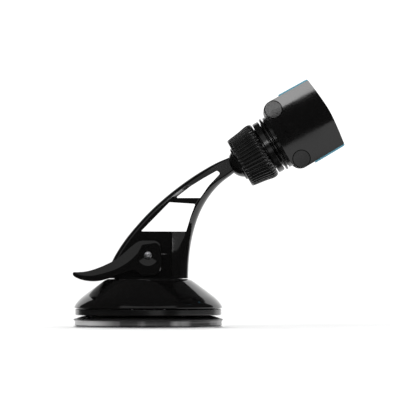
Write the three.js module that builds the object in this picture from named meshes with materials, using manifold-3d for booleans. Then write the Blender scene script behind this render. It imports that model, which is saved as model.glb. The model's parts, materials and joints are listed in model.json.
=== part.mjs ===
// Car phone mount: suction base with a cam lever, slanted arm with a ball end, split collet with a
// ribbed lock nut, and a cradle whose two spring-loaded jaws are tied together by racks and a pinion.
// Millimetres, +Z up. The origin is the centre of the suction face, -Y is the side with the pin's
// drive recess, and the arm leans towards +X.
import * as THREE from 'three';
import { mergeVertices } from 'three/addons/utils/BufferGeometryUtils.js';
import Module from 'manifold-3d';

const wasm = await Module();
wasm.setup();

// ---------------------------------------------------------------- driving dimensions
const GAP = 0.3;

const PAD_R = 40.0;
const PAD_T = 0.65;
const CUP_R = 39.2;
const CUP_LIP_R = 39.8;
const CUP_TOP = 7.5;
const RING_R = 38.9;
const RING_Z = [6.3, 9.6];
const DOME_R = 39.5;
const DOME_TOP = 25.6;
const DOME_WALL = 2.4;
const DOME_SCREW_X = 15.5;
const HUB_R = 21.3;
const SPIGOT_R = 18.2;
const SPIGOT_DEPTH = 0.6;

const LEDGE_Z = 26.3;
const SLAB_HALF = 8.0;
const HUB_HALF = 13.0;
const POCKET_X = 12.6;
const ARM_FOOT = DOME_TOP + GAP;

const PIVOT_Z = 38.2;
const CAM_Z = LEDGE_Z + 0.7;
const PIN_R = 2.1;
const STEM_R = 3.8;
const STEM_TRAVEL = 2.5;
const CHEEK_IN = SLAB_HALF + GAP;
const CHEEK_OUT = 12.7;
const LEVER_BRIDGE_X = -24.6;
const DISH_R = 5.6;
const DISH_DEPTH = 0.8;

const BALL = [51.2, 0, 88.4];
const BALL_R = 8.5;
const HEAD_PITCH = THREE.MathUtils.degToRad(29.8);

const SOCKET_R = 8.8;
const CAVITY_R = 10.1;
const THREAD_R = 12.0;
const NUT_RIBS = 43;
const NUT_BORE_R = 12.3;

const HEAD_N = 0.75;
const HOUSING_S = [22.4, 37.9];
const HOUSING_HALF_N = 19.2;
const HOUSING_HALF_Y = 24.0;
const WALL = 2.0;
const REAR_WALL = 1.4;
const TOP_WALL = 1.6;
const PLATE_S = [38.2, 40.4];
const REST_S = [40.7, 42.2];

const JAW_S = [21.0, 52.2];
const JAW_HALF_N = 19.85;
const JAW_Y = [27.5, 33.0];
const JAW_CROWN_R = 106;
const LINER_S = [32.8, 51.4];
const LINER_Y = [24.7, 27.2];
const LINER_PROUD = 0.45;
const LIP = 3.4;

const ROD_S = 26.75;
const ROD_N = 15.0;
const ROD_R = 1.2;
const COLLAR_R = 2.1;
const CAP_R = 4.5;

const MODULE = 1.0;
const TEETH = 12;
const PRESSURE = THREE.MathUtils.degToRad(25);
const PITCH_R = MODULE * TEETH / 2;
const BACKLASH = 0.24;
const ADDENDUM = 0.8;
const DEDENDUM = 1.1;
const RACK_S = [27.5, 31.5];
const RACK_BACK = 10.0;
const RACK_REACH = 20.5;

// ---------------------------------------------------------------- materials
function material(color, roughness, metalness = 0) {
  return new THREE.MeshStandardMaterial({ color, roughness, metalness });
}
const GLOSS_BLACK = material(0x0c0c0d, 0.12);
const SATIN_BLACK = material(0x151516, 0.45);
const DARK_RUBBER = material(0x1d1d1f, 0.6);
const GEL = material(0x2a2a2c, 0.4);
const BLUE_RUBBER = material(0x3c8fae, 0.5);
const STEEL = material(0xb8b8ba, 0.3, 1);
const SPRING_STEEL = material(0x8d8f92, 0.35, 1);
const NYLON = material(0xd8d6cf, 0.55);

// ---------------------------------------------------------------- solids
function solidOf(geometry) {
  const bare = geometry.clone();
  bare.deleteAttribute('normal');
  bare.deleteAttribute('uv');
  const merged = mergeVertices(bare, 1e-5);
  const mesh = new wasm.Mesh({
    numProp: 3,
    vertProperties: new Float32Array(merged.attributes.position.array),
    triVerts: new Uint32Array(merged.index.array),
  });
  return new wasm.Manifold(mesh);
}

function geometryOf(solid) {
  const mesh = solid.getMesh();
  const geometry = new THREE.BufferGeometry();
  geometry.setAttribute('position', new THREE.BufferAttribute(mesh.vertProperties, 3));
  geometry.setIndex(new THREE.BufferAttribute(mesh.triVerts, 1));
  geometry.computeVertexNormals();
  return geometry;
}

function carved(base, cuts) {
  let solid = solidOf(base);
  for (const cut of cuts) {
    solid = solid.subtract(solidOf(cut));
  }
  return geometryOf(solid);
}

function joined(pieces) {
  let solid = solidOf(pieces[0]);
  for (const piece of pieces.slice(1)) {
    solid = solid.add(solidOf(piece));
  }
  return geometryOf(solid);
}

// A box between two corners.
function block(low, high) {
  const size = high.map((value, i) => value - low[i]);
  const geometry = new THREE.BoxGeometry(...size);
  geometry.translate(...low.map((value, i) => value + size[i] / 2));
  return geometry;
}

// A profile of [radius, height] points turned about Z. It starts and ends on the axis or closes.
function turned(profile, segments = 48) {
  const points = profile.map(([r, z]) => new THREE.Vector2(r, z));
  const geometry = new THREE.LatheGeometry(points, segments);
  geometry.rotateX(Math.PI / 2);
  return oriented(geometry);
}

// Faces of a closed mesh turned outwards if its signed volume is negative.
function oriented(geometry) {
  const indexed = mergeVertices(geometry, 1e-5);
  const p = indexed.attributes.position;
  const index = indexed.index.array;
  const [a, b, c] = [new THREE.Vector3(), new THREE.Vector3(), new THREE.Vector3()];
  let volume = 0;
  for (let i = 0; i < index.length; i += 3) {
    a.fromBufferAttribute(p, index[i]);
    b.fromBufferAttribute(p, index[i + 1]);
    c.fromBufferAttribute(p, index[i + 2]);
    volume += a.dot(b.cross(c));
  }
  if (volume < 0) {
    for (let i = 0; i < index.length; i += 3) {
      [index[i], index[i + 1]] = [index[i + 1], index[i]];
    }
  }
  return indexed;
}

// A rod along Z between two heights.
function rod(radius, low, high, segments = 32) {
  return turned([[0, low], [radius, low], [radius, high], [0, high]], segments);
}

// The same rod laid along Y or X, with its axis through the given centre.
function rodAlongY(radius, low, high, [x, z], segments = 32) {
  const geometry = rod(radius, low, high, segments);
  geometry.rotateX(-Math.PI / 2);
  return geometry.translate(x, 0, z);
}

function alongX(geometry) {
  return geometry.rotateY(Math.PI / 2);
}

// A flat shape in the XZ plane, given thickness from low to high along Y.
function plate(shape, low, high, bevel = 0, curveSegments = 5) {
  const options = { depth: high - low - 2 * bevel, curveSegments, bevelEnabled: bevel > 0 };
  Object.assign(options, { bevelSize: bevel, bevelThickness: bevel, bevelOffset: -bevel });
  options.bevelSegments = 1;
  const geometry = new THREE.ExtrudeGeometry(shape, options);
  geometry.translate(0, 0, bevel - (high - low) / 2);
  geometry.rotateX(Math.PI / 2);
  return oriented(geometry.translate(0, (low + high) / 2, 0));
}

function roundedRectangle(x0, x1, z0, z1, radii) {
  const [bottomLeft, bottomRight, topRight, topLeft] = radii;
  const shape = new THREE.Shape();
  shape.moveTo(x0 + bottomLeft, z0);
  shape.lineTo(x1 - bottomRight, z0);
  shape.absarc(x1 - bottomRight, z0 + bottomRight, bottomRight, -Math.PI / 2, 0);
  shape.lineTo(x1, z1 - topRight);
  shape.absarc(x1 - topRight, z1 - topRight, topRight, 0, Math.PI / 2);
  shape.lineTo(x0 + topLeft, z1);
  shape.absarc(x0 + topLeft, z1 - topLeft, topLeft, Math.PI / 2, Math.PI);
  shape.lineTo(x0, z0 + bottomLeft);
  shape.absarc(x0 + bottomLeft, z0 + bottomLeft, bottomLeft, Math.PI, 1.5 * Math.PI);
  return shape;
}

// A closed outline through rounded corners: each corner is [x, z, radius].
function roundedOutline(corners) {
  const shape = new THREE.Shape();
  const count = corners.length;
  for (let i = 0; i < count; i += 1) {
    const here = new THREE.Vector2(corners[i][0], corners[i][1]);
    const before = new THREE.Vector2(...corners[(i + count - 1) % count].slice(0, 2));
    const after = new THREE.Vector2(...corners[(i + 1) % count].slice(0, 2));
    const toBefore = before.clone().sub(here).normalize();
    const toAfter = after.clone().sub(here).normalize();
    const start = here.clone().addScaledVector(toBefore, corners[i][2]);
    const end = here.clone().addScaledVector(toAfter, corners[i][2]);
    if (i === 0) {
      shape.moveTo(start.x, start.y);
    } else {
      shape.lineTo(start.x, start.y);
    }
    shape.quadraticCurveTo(here.x, here.y, end.x, end.y);
  }
  shape.closePath();
  return shape;
}

// A tube along a curve with a round section and flat ends.
function wire(curve, radius, steps, sides = 6) {
  const section = new THREE.Shape();
  for (let i = 0; i < sides; i += 1) {
    const angle = 2 * Math.PI * i / sides;
    const [x, y] = [radius * Math.cos(angle), radius * Math.sin(angle)];
    if (i === 0) {
      section.moveTo(x, y);
    } else {
      section.lineTo(x, y);
    }
  }
  const options = { steps, extrudePath: curve, bevelEnabled: false };
  return oriented(new THREE.ExtrudeGeometry(section, options));
}

class Helix extends THREE.Curve {
  constructor(radius, low, high, turns) {
    super();
    Object.assign(this, { radius, low, high, turns });
  }

  getPoint(t, target = new THREE.Vector3()) {
    const angle = 2 * Math.PI * this.turns * t;
    const z = this.low + (this.high - this.low) * t;
    return target.set(this.radius * Math.cos(angle), this.radius * Math.sin(angle), z);
  }
}

function coil(radius, wireRadius, low, high, turns, steps) {
  const curve = new Helix(radius, low + wireRadius, high - wireRadius, turns);
  return wire(curve, wireRadius, turns * steps, 4);
}

// A smooth value read off a few [key, value] stations.
function between(stations, key) {
  for (let i = 1; i < stations.length; i += 1) {
    const [k0, v0] = stations[i - 1];
    const [k1, v1] = stations[i];
    if (key <= k1) {
      return v0 + (v1 - v0) * Math.max(0, key - k0) / (k1 - k0);
    }
  }
  return stations[stations.length - 1][1];
}

// ---------------------------------------------------------------- suction base
function gelPad() {
  return turned([
    [0, 0], [PAD_R - 0.3, 0], [PAD_R, 0.3], [PAD_R, PAD_T], [0, PAD_T],
  ], 44);
}

function suctionCup() {
  const under = PAD_T + GAP;
  return turned([
    [0, under], [CUP_R - 0.3, under], [CUP_R, under + 0.3], [CUP_R, 3.4], [CUP_LIP_R, 3.9],
    [CUP_LIP_R, 4.2], [35.2, 5.7], [20, 6.4], [12, CUP_TOP], [0, CUP_TOP],
  ], 44);
}

function pressureRing() {
  const [low, high] = RING_Z;
  return turned([
    [34.9, low], [RING_R - 0.3, low], [RING_R, low + 0.4], [RING_R, high], [34.9, high], [34.9, low],
  ], 44);
}

function domeProfile() {
  const outer = [
    [DOME_R - 0.6, 9.9], [DOME_R, 10.4], [37.6, 13.4], [33.6, 17.2], [28.5, 21], [24.4, 24.2],
    [HUB_R + 0.3, DOME_TOP],
  ];
  const ceiling = DOME_TOP - DOME_WALL;
  const recess = DOME_TOP - SPIGOT_DEPTH;
  const inner = [
    [SPIGOT_R + GAP, DOME_TOP], [SPIGOT_R + GAP, recess],
    [4.3, recess], [4.3, ceiling - 4], [5.4, ceiling - 4], [5.4, ceiling],
    [20.4, ceiling], [26.4, 19.6], [31.6, 15.8], [34.9, 12.6], [35.4, 9.9],
  ];
  return [...outer, ...inner, outer[0]];
}

function baseDome() {
  const holes = [-1, 1].map((side) => {
    return rod(1.7, 15, 30, 12).translate(side * DOME_SCREW_X, 0, 0);
  });
  return carved(turned(domeProfile(), 44), holes);
}

function domeScrew(side) {
  const head = DOME_TOP - DOME_WALL - GAP;
  const profile = [
    [0, head - 1.9], [2.2, head - 1.9], [2.8, head - 1.3], [2.8, head],
    [1.4, head], [1.4, 33.5], [0, 34.3],
  ];
  return turned(profile, 12).translate(side * DOME_SCREW_X, 0, 0);
}

// ---------------------------------------------------------------- arm
const ARM_RIGHT = [
  [21.3, 25.9], [21.5, 32], [22.0, 38.5], [22.9, 45], [24.3, 51.3], [26.6, 58.5], [29.6, 64.9],
  [34.0, 71.5], [39.2, 77.0], [44.9, 81.3], [47.5, 83.6], [50.0, 86.4], [51.2, 90.4],
];
const ARM_LEFT = [
  [-20.6, 25.9], [-20.2, 32], [-18.6, 36.2], [-13.3, 44.9], [-6.5, 53.5], [1.4, 62], [10.9, 70.5],
  [22.2, 79], [28.9, 83.3], [36.7, 87.6], [43.4, 90.4],
];
const SLAB_THICKNESS = [[25.9, SLAB_HALF], [58, SLAB_HALF], [70, 7.1], [82, 4.8], [90.4, 2.9]];
const HUB_THICKNESS = [[25.9, HUB_HALF], [38, 12.6], [46, 11.2], [54, 9.0], [60, 7.6]];

function edgeAt(edge, z) {
  return between(edge.map(([x, height]) => [height, x]), z);
}

// Horizontal slices, each a rectangle with rounded corners, skinned from one end to the other.
function lofted(heights, slice) {
  const rings = heights.map((z) => slice(z).map(([x, y]) => [x, y, z]));
  const around = rings[0].length;
  const positions = rings.flat(2);
  const index = [];
  for (let i = 0; i + 1 < rings.length; i += 1) {
    for (let j = 0; j < around; j += 1) {
      const next = (j + 1) % around;
      const [a, b] = [i * around + j, i * around + next];
      index.push(a, b, b + around, a, b + around, a + around);
    }
  }
  const top = (rings.length - 1) * around;
  for (let j = 1; j + 1 < around; j += 1) {
    index.push(0, j + 1, j);
    index.push(top, top + j, top + j + 1);
  }
  const geometry = new THREE.BufferGeometry();
  geometry.setAttribute('position', new THREE.Float32BufferAttribute(positions, 3));
  geometry.setIndex(index);
  return oriented(geometry);
}

function slice(x0, x1, half, leftRadius, rightRadius) {
  const points = [];
  const corners = [
    [x1 - rightRadius, half - rightRadius, rightRadius, 0],
    [x0 + leftRadius, half - leftRadius, leftRadius, 1],
    [x0 + leftRadius, leftRadius - half, leftRadius, 2],
    [x1 - rightRadius, rightRadius - half, rightRadius, 3],
  ];
  const steps = 3;
  for (const [x, y, radius, quarter] of corners) {
    for (let i = 0; i <= steps; i += 1) {
      const angle = (quarter + i / steps) * Math.PI / 2;
      points.push([x + radius * Math.cos(angle), y + radius * Math.sin(angle)]);
    }
  }
  return points;
}

function heightsBetween(low, high, count) {
  return Array.from({ length: count + 1 }, (_, i) => low + (high - low) * i / count);
}

function armSlab() {
  return lofted(heightsBetween(ARM_FOOT, 90.3, 16), (z) => {
    const half = between(SLAB_THICKNESS, z);
    const radius = Math.min(3.2, half - 0.6);
    return slice(edgeAt(ARM_LEFT, z), edgeAt(ARM_RIGHT, z), half, radius, radius);
  });
}

function armHub() {
  return lofted(heightsBetween(ARM_FOOT, 60, 6), (z) => {
    const half = between(HUB_THICKNESS, z);
    const right = edgeAt(ARM_RIGHT, z);
    return slice(POCKET_X, right, half, 0.4, Math.min(6.6, half - 1));
  });
}

function ledge() {
  const shape = new THREE.Shape();
  const half = HUB_HALF + 0.4;
  const radius = HUB_R - 0.2;
  const angle = Math.asin(half / radius);
  shape.moveTo(-15.0, -half);
  shape.absarc(0, 0, radius, -angle, angle);
  shape.lineTo(-15.0, half);
  shape.closePath();
  const geometry = new THREE.ExtrudeGeometry(shape, {
    depth: LEDGE_Z - ARM_FOOT, bevelEnabled: false, curveSegments: 16,
  });
  return oriented(geometry.translate(0, 0, ARM_FOOT));
}

function lowerWindow() {
  return roundedOutline([
    [-3.7, 50.9, 0.5], [20.3, 50.8, 0.9], [22.6, 58.6, 3], [25.2, 65.5, 0.9], [11.4, 66.4, 0.9],
  ]);
}

function upperWindow() {
  return roundedOutline([
    [14.8, 68.8, 0.6], [27.8, 68.7, 0.9], [32.2, 75.1, 3], [38.6, 81.9, 1.1], [36.6, 83.2, 1.0],
    [29.2, 79.0, 2], [22.6, 74.9, 2],
  ]);
}

function pinSlot() {
  const half = PIN_R + 0.4;
  const low = PIVOT_Z - STEM_TRAVEL - half;
  return roundedRectangle(-half, half, low, PIVOT_Z + half, [half, half, half, half]);
}

function arm() {
  const ball = new THREE.SphereGeometry(BALL_R, 30, 20);
  ball.translate(...BALL);
  const spigot = rod(SPIGOT_R, ARM_FOOT - SPIGOT_DEPTH, ARM_FOOT + 0.2, 44);
  const body = joined([armSlab(), armHub(), ledge(), spigot, ball]);
  const far = 20;
  const cuts = [
    plate(lowerWindow(), -far, far),
    plate(upperWindow(), -far, far),
    plate(pinSlot(), -far, far),
    rod(STEM_R + 0.4, ARM_FOOT - 2, PIVOT_Z + 5.9, 24),
  ];
  for (const side of [-1, 1]) {
    cuts.push(rod(1.7, ARM_FOOT - 2, 34.8, 12).translate(side * DOME_SCREW_X, 0, 0));
  }
  return carved(body, cuts);
}

// ---------------------------------------------------------------- suction lock
function pullStem() {
  const low = CUP_TOP + GAP;
  const stem = turned([
    [0, low], [8.6, low], [9, low + 0.4], [9, low + 1.6], [STEM_R, low + 1.8],
    [STEM_R, PIVOT_Z + 3.6], [3.2, PIVOT_Z + 4.2], [0, PIVOT_Z + 4.2],
  ], 24);
  return carved(stem, [rodAlongY(PIN_R + 0.1, -9, 9, [0, PIVOT_Z], 32)]);
}

function returnSpring() {
  return coil(6.4, 0.8, CUP_TOP + 2.2, DOME_TOP - DOME_WALL - 0.1, 5, 12);
}

function crossPin() {
  const [near, farEnd] = [-CHEEK_OUT + 0.2, CHEEK_OUT - DISH_DEPTH - 0.2];
  const pin = turned([
    [0, near], [PIN_R - 0.25, near], [PIN_R, near + 0.25], [PIN_R, farEnd], [0, farEnd],
  ], 28);
  pin.rotateX(-Math.PI / 2).translate(0, 0, PIVOT_Z);
  const recess = rodAlongY(0.9, near - 1, near + 1.2, [0, PIVOT_Z], 6);
  return carved(pin, [recess]);
}

function pinRetainer() {
  const low = CHEEK_OUT - DISH_DEPTH + 0.1;
  const cap = turned([
    [0, low], [3.2, low], [3.2, low + 0.9], [2.6, low + 1.3], [0, low + 1.3],
  ], 24);
  return cap.rotateX(-Math.PI / 2).translate(0, 0, PIVOT_Z);
}

// The cam is the round foot under the pivot: its reach shrinks as it turns, so it never meets the ledge.
function leverOutline() {
  const shape = new THREE.Shape();
  shape.moveTo(-2.8, CAM_Z);
  shape.lineTo(0.6, CAM_Z);
  shape.bezierCurveTo(4.4, CAM_Z + 0.1, 6.9, 29.8, 7.0, 33.0);
  shape.lineTo(7.0, 41.3);
  shape.quadraticCurveTo(6.9, 45.9, 2.4, 46.0);
  shape.lineTo(-2.6, 46.0);
  shape.splineThru([
    new THREE.Vector2(-6.0, 44.9), new THREE.Vector2(-11.9, 40.1), new THREE.Vector2(-18.8, 35.0),
    new THREE.Vector2(-25.7, 31.8), new THREE.Vector2(-33.0, 29.6), new THREE.Vector2(-38.6, 29.3),
  ]);
  shape.quadraticCurveTo(-40.0, 29.0, -39.8, 27.8);
  shape.splineThru([
    new THREE.Vector2(-38.4, 26.6), new THREE.Vector2(-34.0, 25.0), new THREE.Vector2(-28.4, 24.4),
    new THREE.Vector2(-20.4, 26.0), new THREE.Vector2(-12.4, 28.6), new THREE.Vector2(-8.4, 29.6),
  ]);
  shape.quadraticCurveTo(-6.0, 29.5, -4.8, 28.1);
  shape.quadraticCurveTo(-3.9, 27.1, -2.8, CAM_Z);
  return shape;
}

function camLever() {
  const body = plate(leverOutline(), -CHEEK_OUT, CHEEK_OUT, 0.5, 3);
  const cuts = [
    block([LEVER_BRIDGE_X, -CHEEK_IN, 10], [20, CHEEK_IN, 60]),
    rodAlongY(PIN_R + 0.08, -20, 20, [0, PIVOT_Z], 28),
    rodAlongY(DISH_R, -20, -CHEEK_OUT + DISH_DEPTH, [0, PIVOT_Z], 28),
    rodAlongY(DISH_R, CHEEK_OUT - DISH_DEPTH, 20, [0, PIVOT_Z], 28),
  ];
  return carved(body, cuts);
}

// ---------------------------------------------------------------- ball clamp, along the head's axis
// In the head's frame X runs out along the head's axis from the ball's centre and Z is its height.
function arcPoints(radius, from, to, steps) {
  return Array.from({ length: steps + 1 }, (_, i) => {
    const angle = from + (to - from) * i / steps;
    return [radius * Math.sin(angle), radius * Math.cos(angle)];
  });
}

function ballSeat() {
  const rim = THREE.MathUtils.degToRad(42);
  const profile = [...arcPoints(SOCKET_R, 0, rim, 5), ...arcPoints(9.8, rim, 0, 5)];
  return alongX(turned(profile, 30));
}

const COLLET_S = [-3.9, 3.0];
const COLLET_R = [9.0, 11.2];

function collet() {
  const [front, back] = COLLET_S;
  const inner = arcPoints(SOCKET_R, Math.acos(front / SOCKET_R), Math.acos(back / SOCKET_R), 6);
  const [lip, body] = COLLET_R;
  const profile = [...inner, [body, back], [body, 2.0], [lip, front], inner[0]];
  const ring = alongX(turned(profile, 36));
  const slits = [0, 1, 2].map((i) => {
    const slit = block([front - 1, -14, -0.35], [1.4, 14, 0.35]);
    return slit.rotateX((i + 0.5) * Math.PI / 3);
  });
  return carved(ring, slits);
}

const NECK_END = HOUSING_S[0] - GAP;

function neck() {
  const mouth = 3.4;
  const cavity = arcPoints(CAVITY_R, 0, Math.acos(mouth / CAVITY_R), 5);
  const profile = [
    ...cavity, [THREAD_R - 0.5, mouth], [THREAD_R, mouth + 0.5], [THREAD_R, 16.9],
    [12.9, 16.9], [12.9, 17.3], [15.3, 17.4], [15.3, 18.5], [13.5, 18.6], [13.5, 19.3],
    [14.9, 19.4], [14.9, NECK_END], [0, NECK_END],
  ];
  const body = alongX(turned(profile, 36));
  return carved(body, NECK_SCREW_ANGLES.map((angle) => {
    return alongX(rod(1.7, 14, 30, 12)).translate(0, 0, NECK_SCREW_R).rotateX(angle);
  }));
}

const NECK_SCREW_R = 7.8;
const NECK_SCREW_ANGLES = [0.5, 2.5, 4.5].map((third) => third * Math.PI / 3);

function neckScrew(angle) {
  const wall = HOUSING_S[0] + REAR_WALL + GAP;
  const profile = [
    [0, 14.5], [1.4, 15.2], [1.4, wall], [2.4, wall], [2.4, wall + 1.2], [1.9, wall + 1.7],
    [0, wall + 1.7],
  ];
  return alongX(turned(profile, 12)).translate(0, 0, NECK_SCREW_R).rotateX(angle);
}

const NUT_OUTSIDE = [
  [14.0, -2.9], [14.4, 1.2], [14.9, 5.2], [15.5, 7.8], [15.7, 9.7], [15.5, 11.6], [14.6, 12.6],
];
const NUT_INSIDE = [[NUT_BORE_R, 12.6], [NUT_BORE_R, 3.6], [11.6, 2.2], [9.8, -2.9]];
const RIB_DEPTH = 0.55;

// Ribs run along the outside: each has one crest and one valley column.
function lockNut() {
  const columns = NUT_RIBS * 2;
  const profile = [...NUT_OUTSIDE, ...NUT_INSIDE];
  const positions = [];
  for (let j = 0; j < columns; j += 1) {
    const angle = 2 * Math.PI * j / columns;
    profile.forEach(([r, s], k) => {
      const valley = j % 2 === 1 && k < NUT_OUTSIDE.length ? RIB_DEPTH : 0;
      positions.push(s, (r - valley) * Math.cos(angle), (r - valley) * Math.sin(angle));
    });
  }
  const index = [];
  const rows = profile.length;
  for (let j = 0; j < columns; j += 1) {
    const next = (j + 1) % columns;
    for (let k = 0; k < rows; k += 1) {
      const up = (k + 1) % rows;
      const [a, b, c, d] = [j * rows + k, j * rows + up, next * rows + up, next * rows + k];
      index.push(a, b, c, a, c, d);
    }
  }
  const geometry = new THREE.BufferGeometry();
  geometry.setAttribute('position', new THREE.Float32BufferAttribute(positions, 3));
  geometry.setIndex(index);
  return oriented(geometry);
}

function slipRing() {
  return alongX(turned([
    [12.3, 13.1], [14.4, 13.1], [14.7, 13.4], [14.7, 16.3], [14.4, 16.6], [12.3, 16.6], [12.3, 13.1],
  ], 36));
}

// ---------------------------------------------------------------- cradle housing
function housingOutline(inset) {
  const low = HOUSING_S[0] + (inset > 0 ? REAR_WALL : 0);
  const half = HOUSING_HALF_N - (inset > 0 ? TOP_WALL : 0);
  const corner = inset > 0 ? 2.0 : 5.0;
  const front = HOUSING_S[1] + (inset > 0 ? 1 : 0);
  return roundedRectangle(low, front, HEAD_N - half, HEAD_N + half, [corner, 1.0, 1.0, corner]);
}

const POST_Y = 19.4;
const POST_N = 14.4;

function plateScrewPlaces() {
  return [[-1, 1], [1, 1], [-1, -1], [1, -1]];
}

function headHousing() {
  const shell = carved(plate(housingOutline(0), -HOUSING_HALF_Y, HOUSING_HALF_Y, 0.4), [
    plate(housingOutline(WALL), WALL - HOUSING_HALF_Y, HOUSING_HALF_Y - WALL),
  ]);
  const rear = HOUSING_S[0] + REAR_WALL;
  const posts = plateScrewPlaces().map(([side, up]) => {
    const y = side > 0 ? [POST_Y - 2.8, HOUSING_HALF_Y - 1] : [1 - HOUSING_HALF_Y, 2.8 - POST_Y];
    const reach = HOUSING_HALF_N - 1;
    const n = up > 0 ? [POST_N - 2.8, reach] : [-reach, 2.8 - POST_N];
    return block([30.5, y[0], HEAD_N + n[0]], [HOUSING_S[1], y[1], HEAD_N + n[1]]);
  });
  const boss = alongX(rod(3.4, rear - 0.7, RACK_S[0] - GAP, 24)).translate(0, 0, HEAD_N);
  const body = joined([shell, boss, ...posts]);
  const cuts = [alongX(rod(1.75, rear - 0.1, 40, 24)).translate(0, 0, HEAD_N)];
  for (const angle of NECK_SCREW_ANGLES) {
    const hole = alongX(rod(1.7, 15, 30, 12)).translate(0, 0, NECK_SCREW_R);
    cuts.push(hole.rotateX(angle));
  }
  for (const [side, up] of plateScrewPlaces()) {
    const hole = alongX(rod(1.4, 31.6, 45, 12));
    cuts.push(hole.translate(0, side * POST_Y, HEAD_N + up * POST_N));
    cuts.push(rodAlongY(ROD_R + 0.1, side * 23 - 3, side * 23 + 3, [ROD_S, HEAD_N + up * ROD_N], 14));
  }
  const [low, high] = [PITCH_R - ADDENDUM - GAP, RACK_BACK + GAP];
  const [s0, s1] = [RACK_S[0] - GAP, RACK_S[1] + GAP];
  cuts.push(block([s0, -30, HEAD_N + low], [s1, -20, HEAD_N + high]));
  cuts.push(block([s0, 20, HEAD_N - high], [s1, 30, HEAD_N - low]));
  return carved(body, cuts);
}

function frontPlate() {
  const [back, front] = PLATE_S;
  const half = HOUSING_HALF_N;
  const shape = roundedRectangle(
    back, front, HEAD_N - half, HEAD_N + half, [0.7, 0.9, 0.9, 0.7],
  );
  const body = plate(shape, -HOUSING_HALF_Y, HOUSING_HALF_Y, 0.4);
  const cuts = [alongX(rod(1.75, back - 1, back + 1.2, 24)).translate(0, 0, HEAD_N)];
  for (const [side, up] of plateScrewPlaces()) {
    const place = [0, side * POST_Y, HEAD_N + up * POST_N];
    cuts.push(alongX(rod(1.4, back - 1, front + 1, 12)).translate(...place));
    cuts.push(alongX(rod(2.6, front - 1.3, front + 1, 16)).translate(...place));
  }
  return carved(body, cuts);
}

function plateScrew([side, up]) {
  const seat = PLATE_S[1] - 1.3 + 0.2;
  const profile = [
    [0, 32.2], [1.1, 32.9], [1.1, seat], [2.3, seat], [2.3, seat + 0.7], [1.8, seat + 1.0],
    [0, seat + 1.0],
  ];
  return alongX(turned(profile, 12)).translate(0, side * POST_Y, HEAD_N + up * POST_N);
}

function restPad() {
  const [back, front] = REST_S;
  const shape = roundedRectangle(-12.6, 12.6, -16.6, 16.6, [3, 3, 3, 3]);
  const options = { depth: front - back, bevelEnabled: false, curveSegments: 6 };
  const pad = new THREE.ExtrudeGeometry(shape, options);
  pad.rotateY(Math.PI / 2).translate(back, 0, HEAD_N);
  return oriented(pad);
}

// ---------------------------------------------------------------- jaws
// side is -1 for the near jaw and +1 for the far one.
function jawOutline() {
  const [back, front] = JAW_S;
  const half = JAW_HALF_N;
  const shape = new THREE.Shape();
  const corner = 5.9;
  const nose = front - 1.8;
  shape.moveTo(back + corner, HEAD_N - half);
  shape.lineTo(nose - 1.6, HEAD_N - half + 0.5);
  shape.quadraticCurveTo(nose, HEAD_N - half + 0.5, nose + 0.1, HEAD_N - half + 2.0);
  shape.quadraticCurveTo(2 * front - nose - 0.1, HEAD_N, nose + 0.1, HEAD_N + half - 2.0);
  shape.quadraticCurveTo(nose, HEAD_N + half - 0.5, nose - 1.6, HEAD_N + half - 0.5);
  shape.lineTo(back + corner, HEAD_N + half);
  shape.absarc(back + corner, HEAD_N + half - corner, corner, Math.PI / 2, Math.PI);
  shape.lineTo(back, HEAD_N - half + corner);
  shape.absarc(back + corner, HEAD_N - half + corner, corner, Math.PI, 1.5 * Math.PI);
  return shape;
}

function span(side, low, high) {
  return side > 0 ? [low, high] : [-high, -low];
}

function jaw(side) {
  const [low, high] = span(side, ...JAW_Y);
  const crown = alongX(rod(JAW_CROWN_R, 0, 70, 160));
  crown.translate(0, side * (JAW_Y[1] - JAW_CROWN_R), HEAD_N);
  const slabSolid = solidOf(plate(jawOutline(), low, high, 0.5, 4));
  const body = geometryOf(slabSolid.intersect(solidOf(crown)));
  const cuts = [];
  for (const up of [-1, 1]) {
    const place = [ROD_S, HEAD_N + up * ROD_N];
    cuts.push(rodAlongY(ROD_R + GAP, ...span(side, 25, 40), place, 14));
    cuts.push(rodAlongY(CAP_R + GAP, ...span(side, 30.3, 40), place, 20));
  }
  return carved(body, cuts);
}

// The liner is proud of the jaw's top and bottom and turns in at the front as a lip.
function jawLiner(side) {
  const [back, front] = LINER_S;
  const [inner, outer] = LINER_Y;
  const shape = new THREE.Shape();
  shape.moveTo(back, outer);
  shape.lineTo(front, outer);
  shape.lineTo(front, inner - LIP + 0.8);
  shape.quadraticCurveTo(front - 0.2, inner - LIP, front - 1.2, inner - LIP);
  shape.quadraticCurveTo(front - 2.6, inner - 3.2, front - 3.4, inner - 1.2);
  shape.quadraticCurveTo(front - 4.6, inner, front - 7, inner);
  shape.lineTo(back, inner);
  shape.closePath();
  const half = JAW_HALF_N + LINER_PROUD;
  const options = { depth: 2 * half, bevelEnabled: false, curveSegments: 5 };
  const liner = new THREE.ExtrudeGeometry(shape, options);
  liner.translate(0, 0, HEAD_N - half);
  liner.scale(1, side, 1);
  return oriented(liner);
}

function guideRod(side, up) {
  const profile = [
    [0, 1.5], [COLLAR_R, 1.5], [COLLAR_R, 3.0], [ROD_R, 3.0], [ROD_R, 30.0], [0, 30.0],
  ];
  const shaft = turned(profile, 14).rotateX(-Math.PI / 2).scale(1, side, 1);
  return oriented(shaft.translate(ROD_S, 0, HEAD_N + up * ROD_N));
}

function rodCap(side, up) {
  const profile = [
    [0, 30.6], [CAP_R, 30.6], [CAP_R, 31.9], [3.9, 32.3], [1.4, 32.6], [0, 32.65],
  ];
  const cap = turned(profile, 18).rotateX(-Math.PI / 2).scale(1, side, 1);
  return oriented(cap.translate(ROD_S, 0, HEAD_N + up * ROD_N));
}

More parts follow.
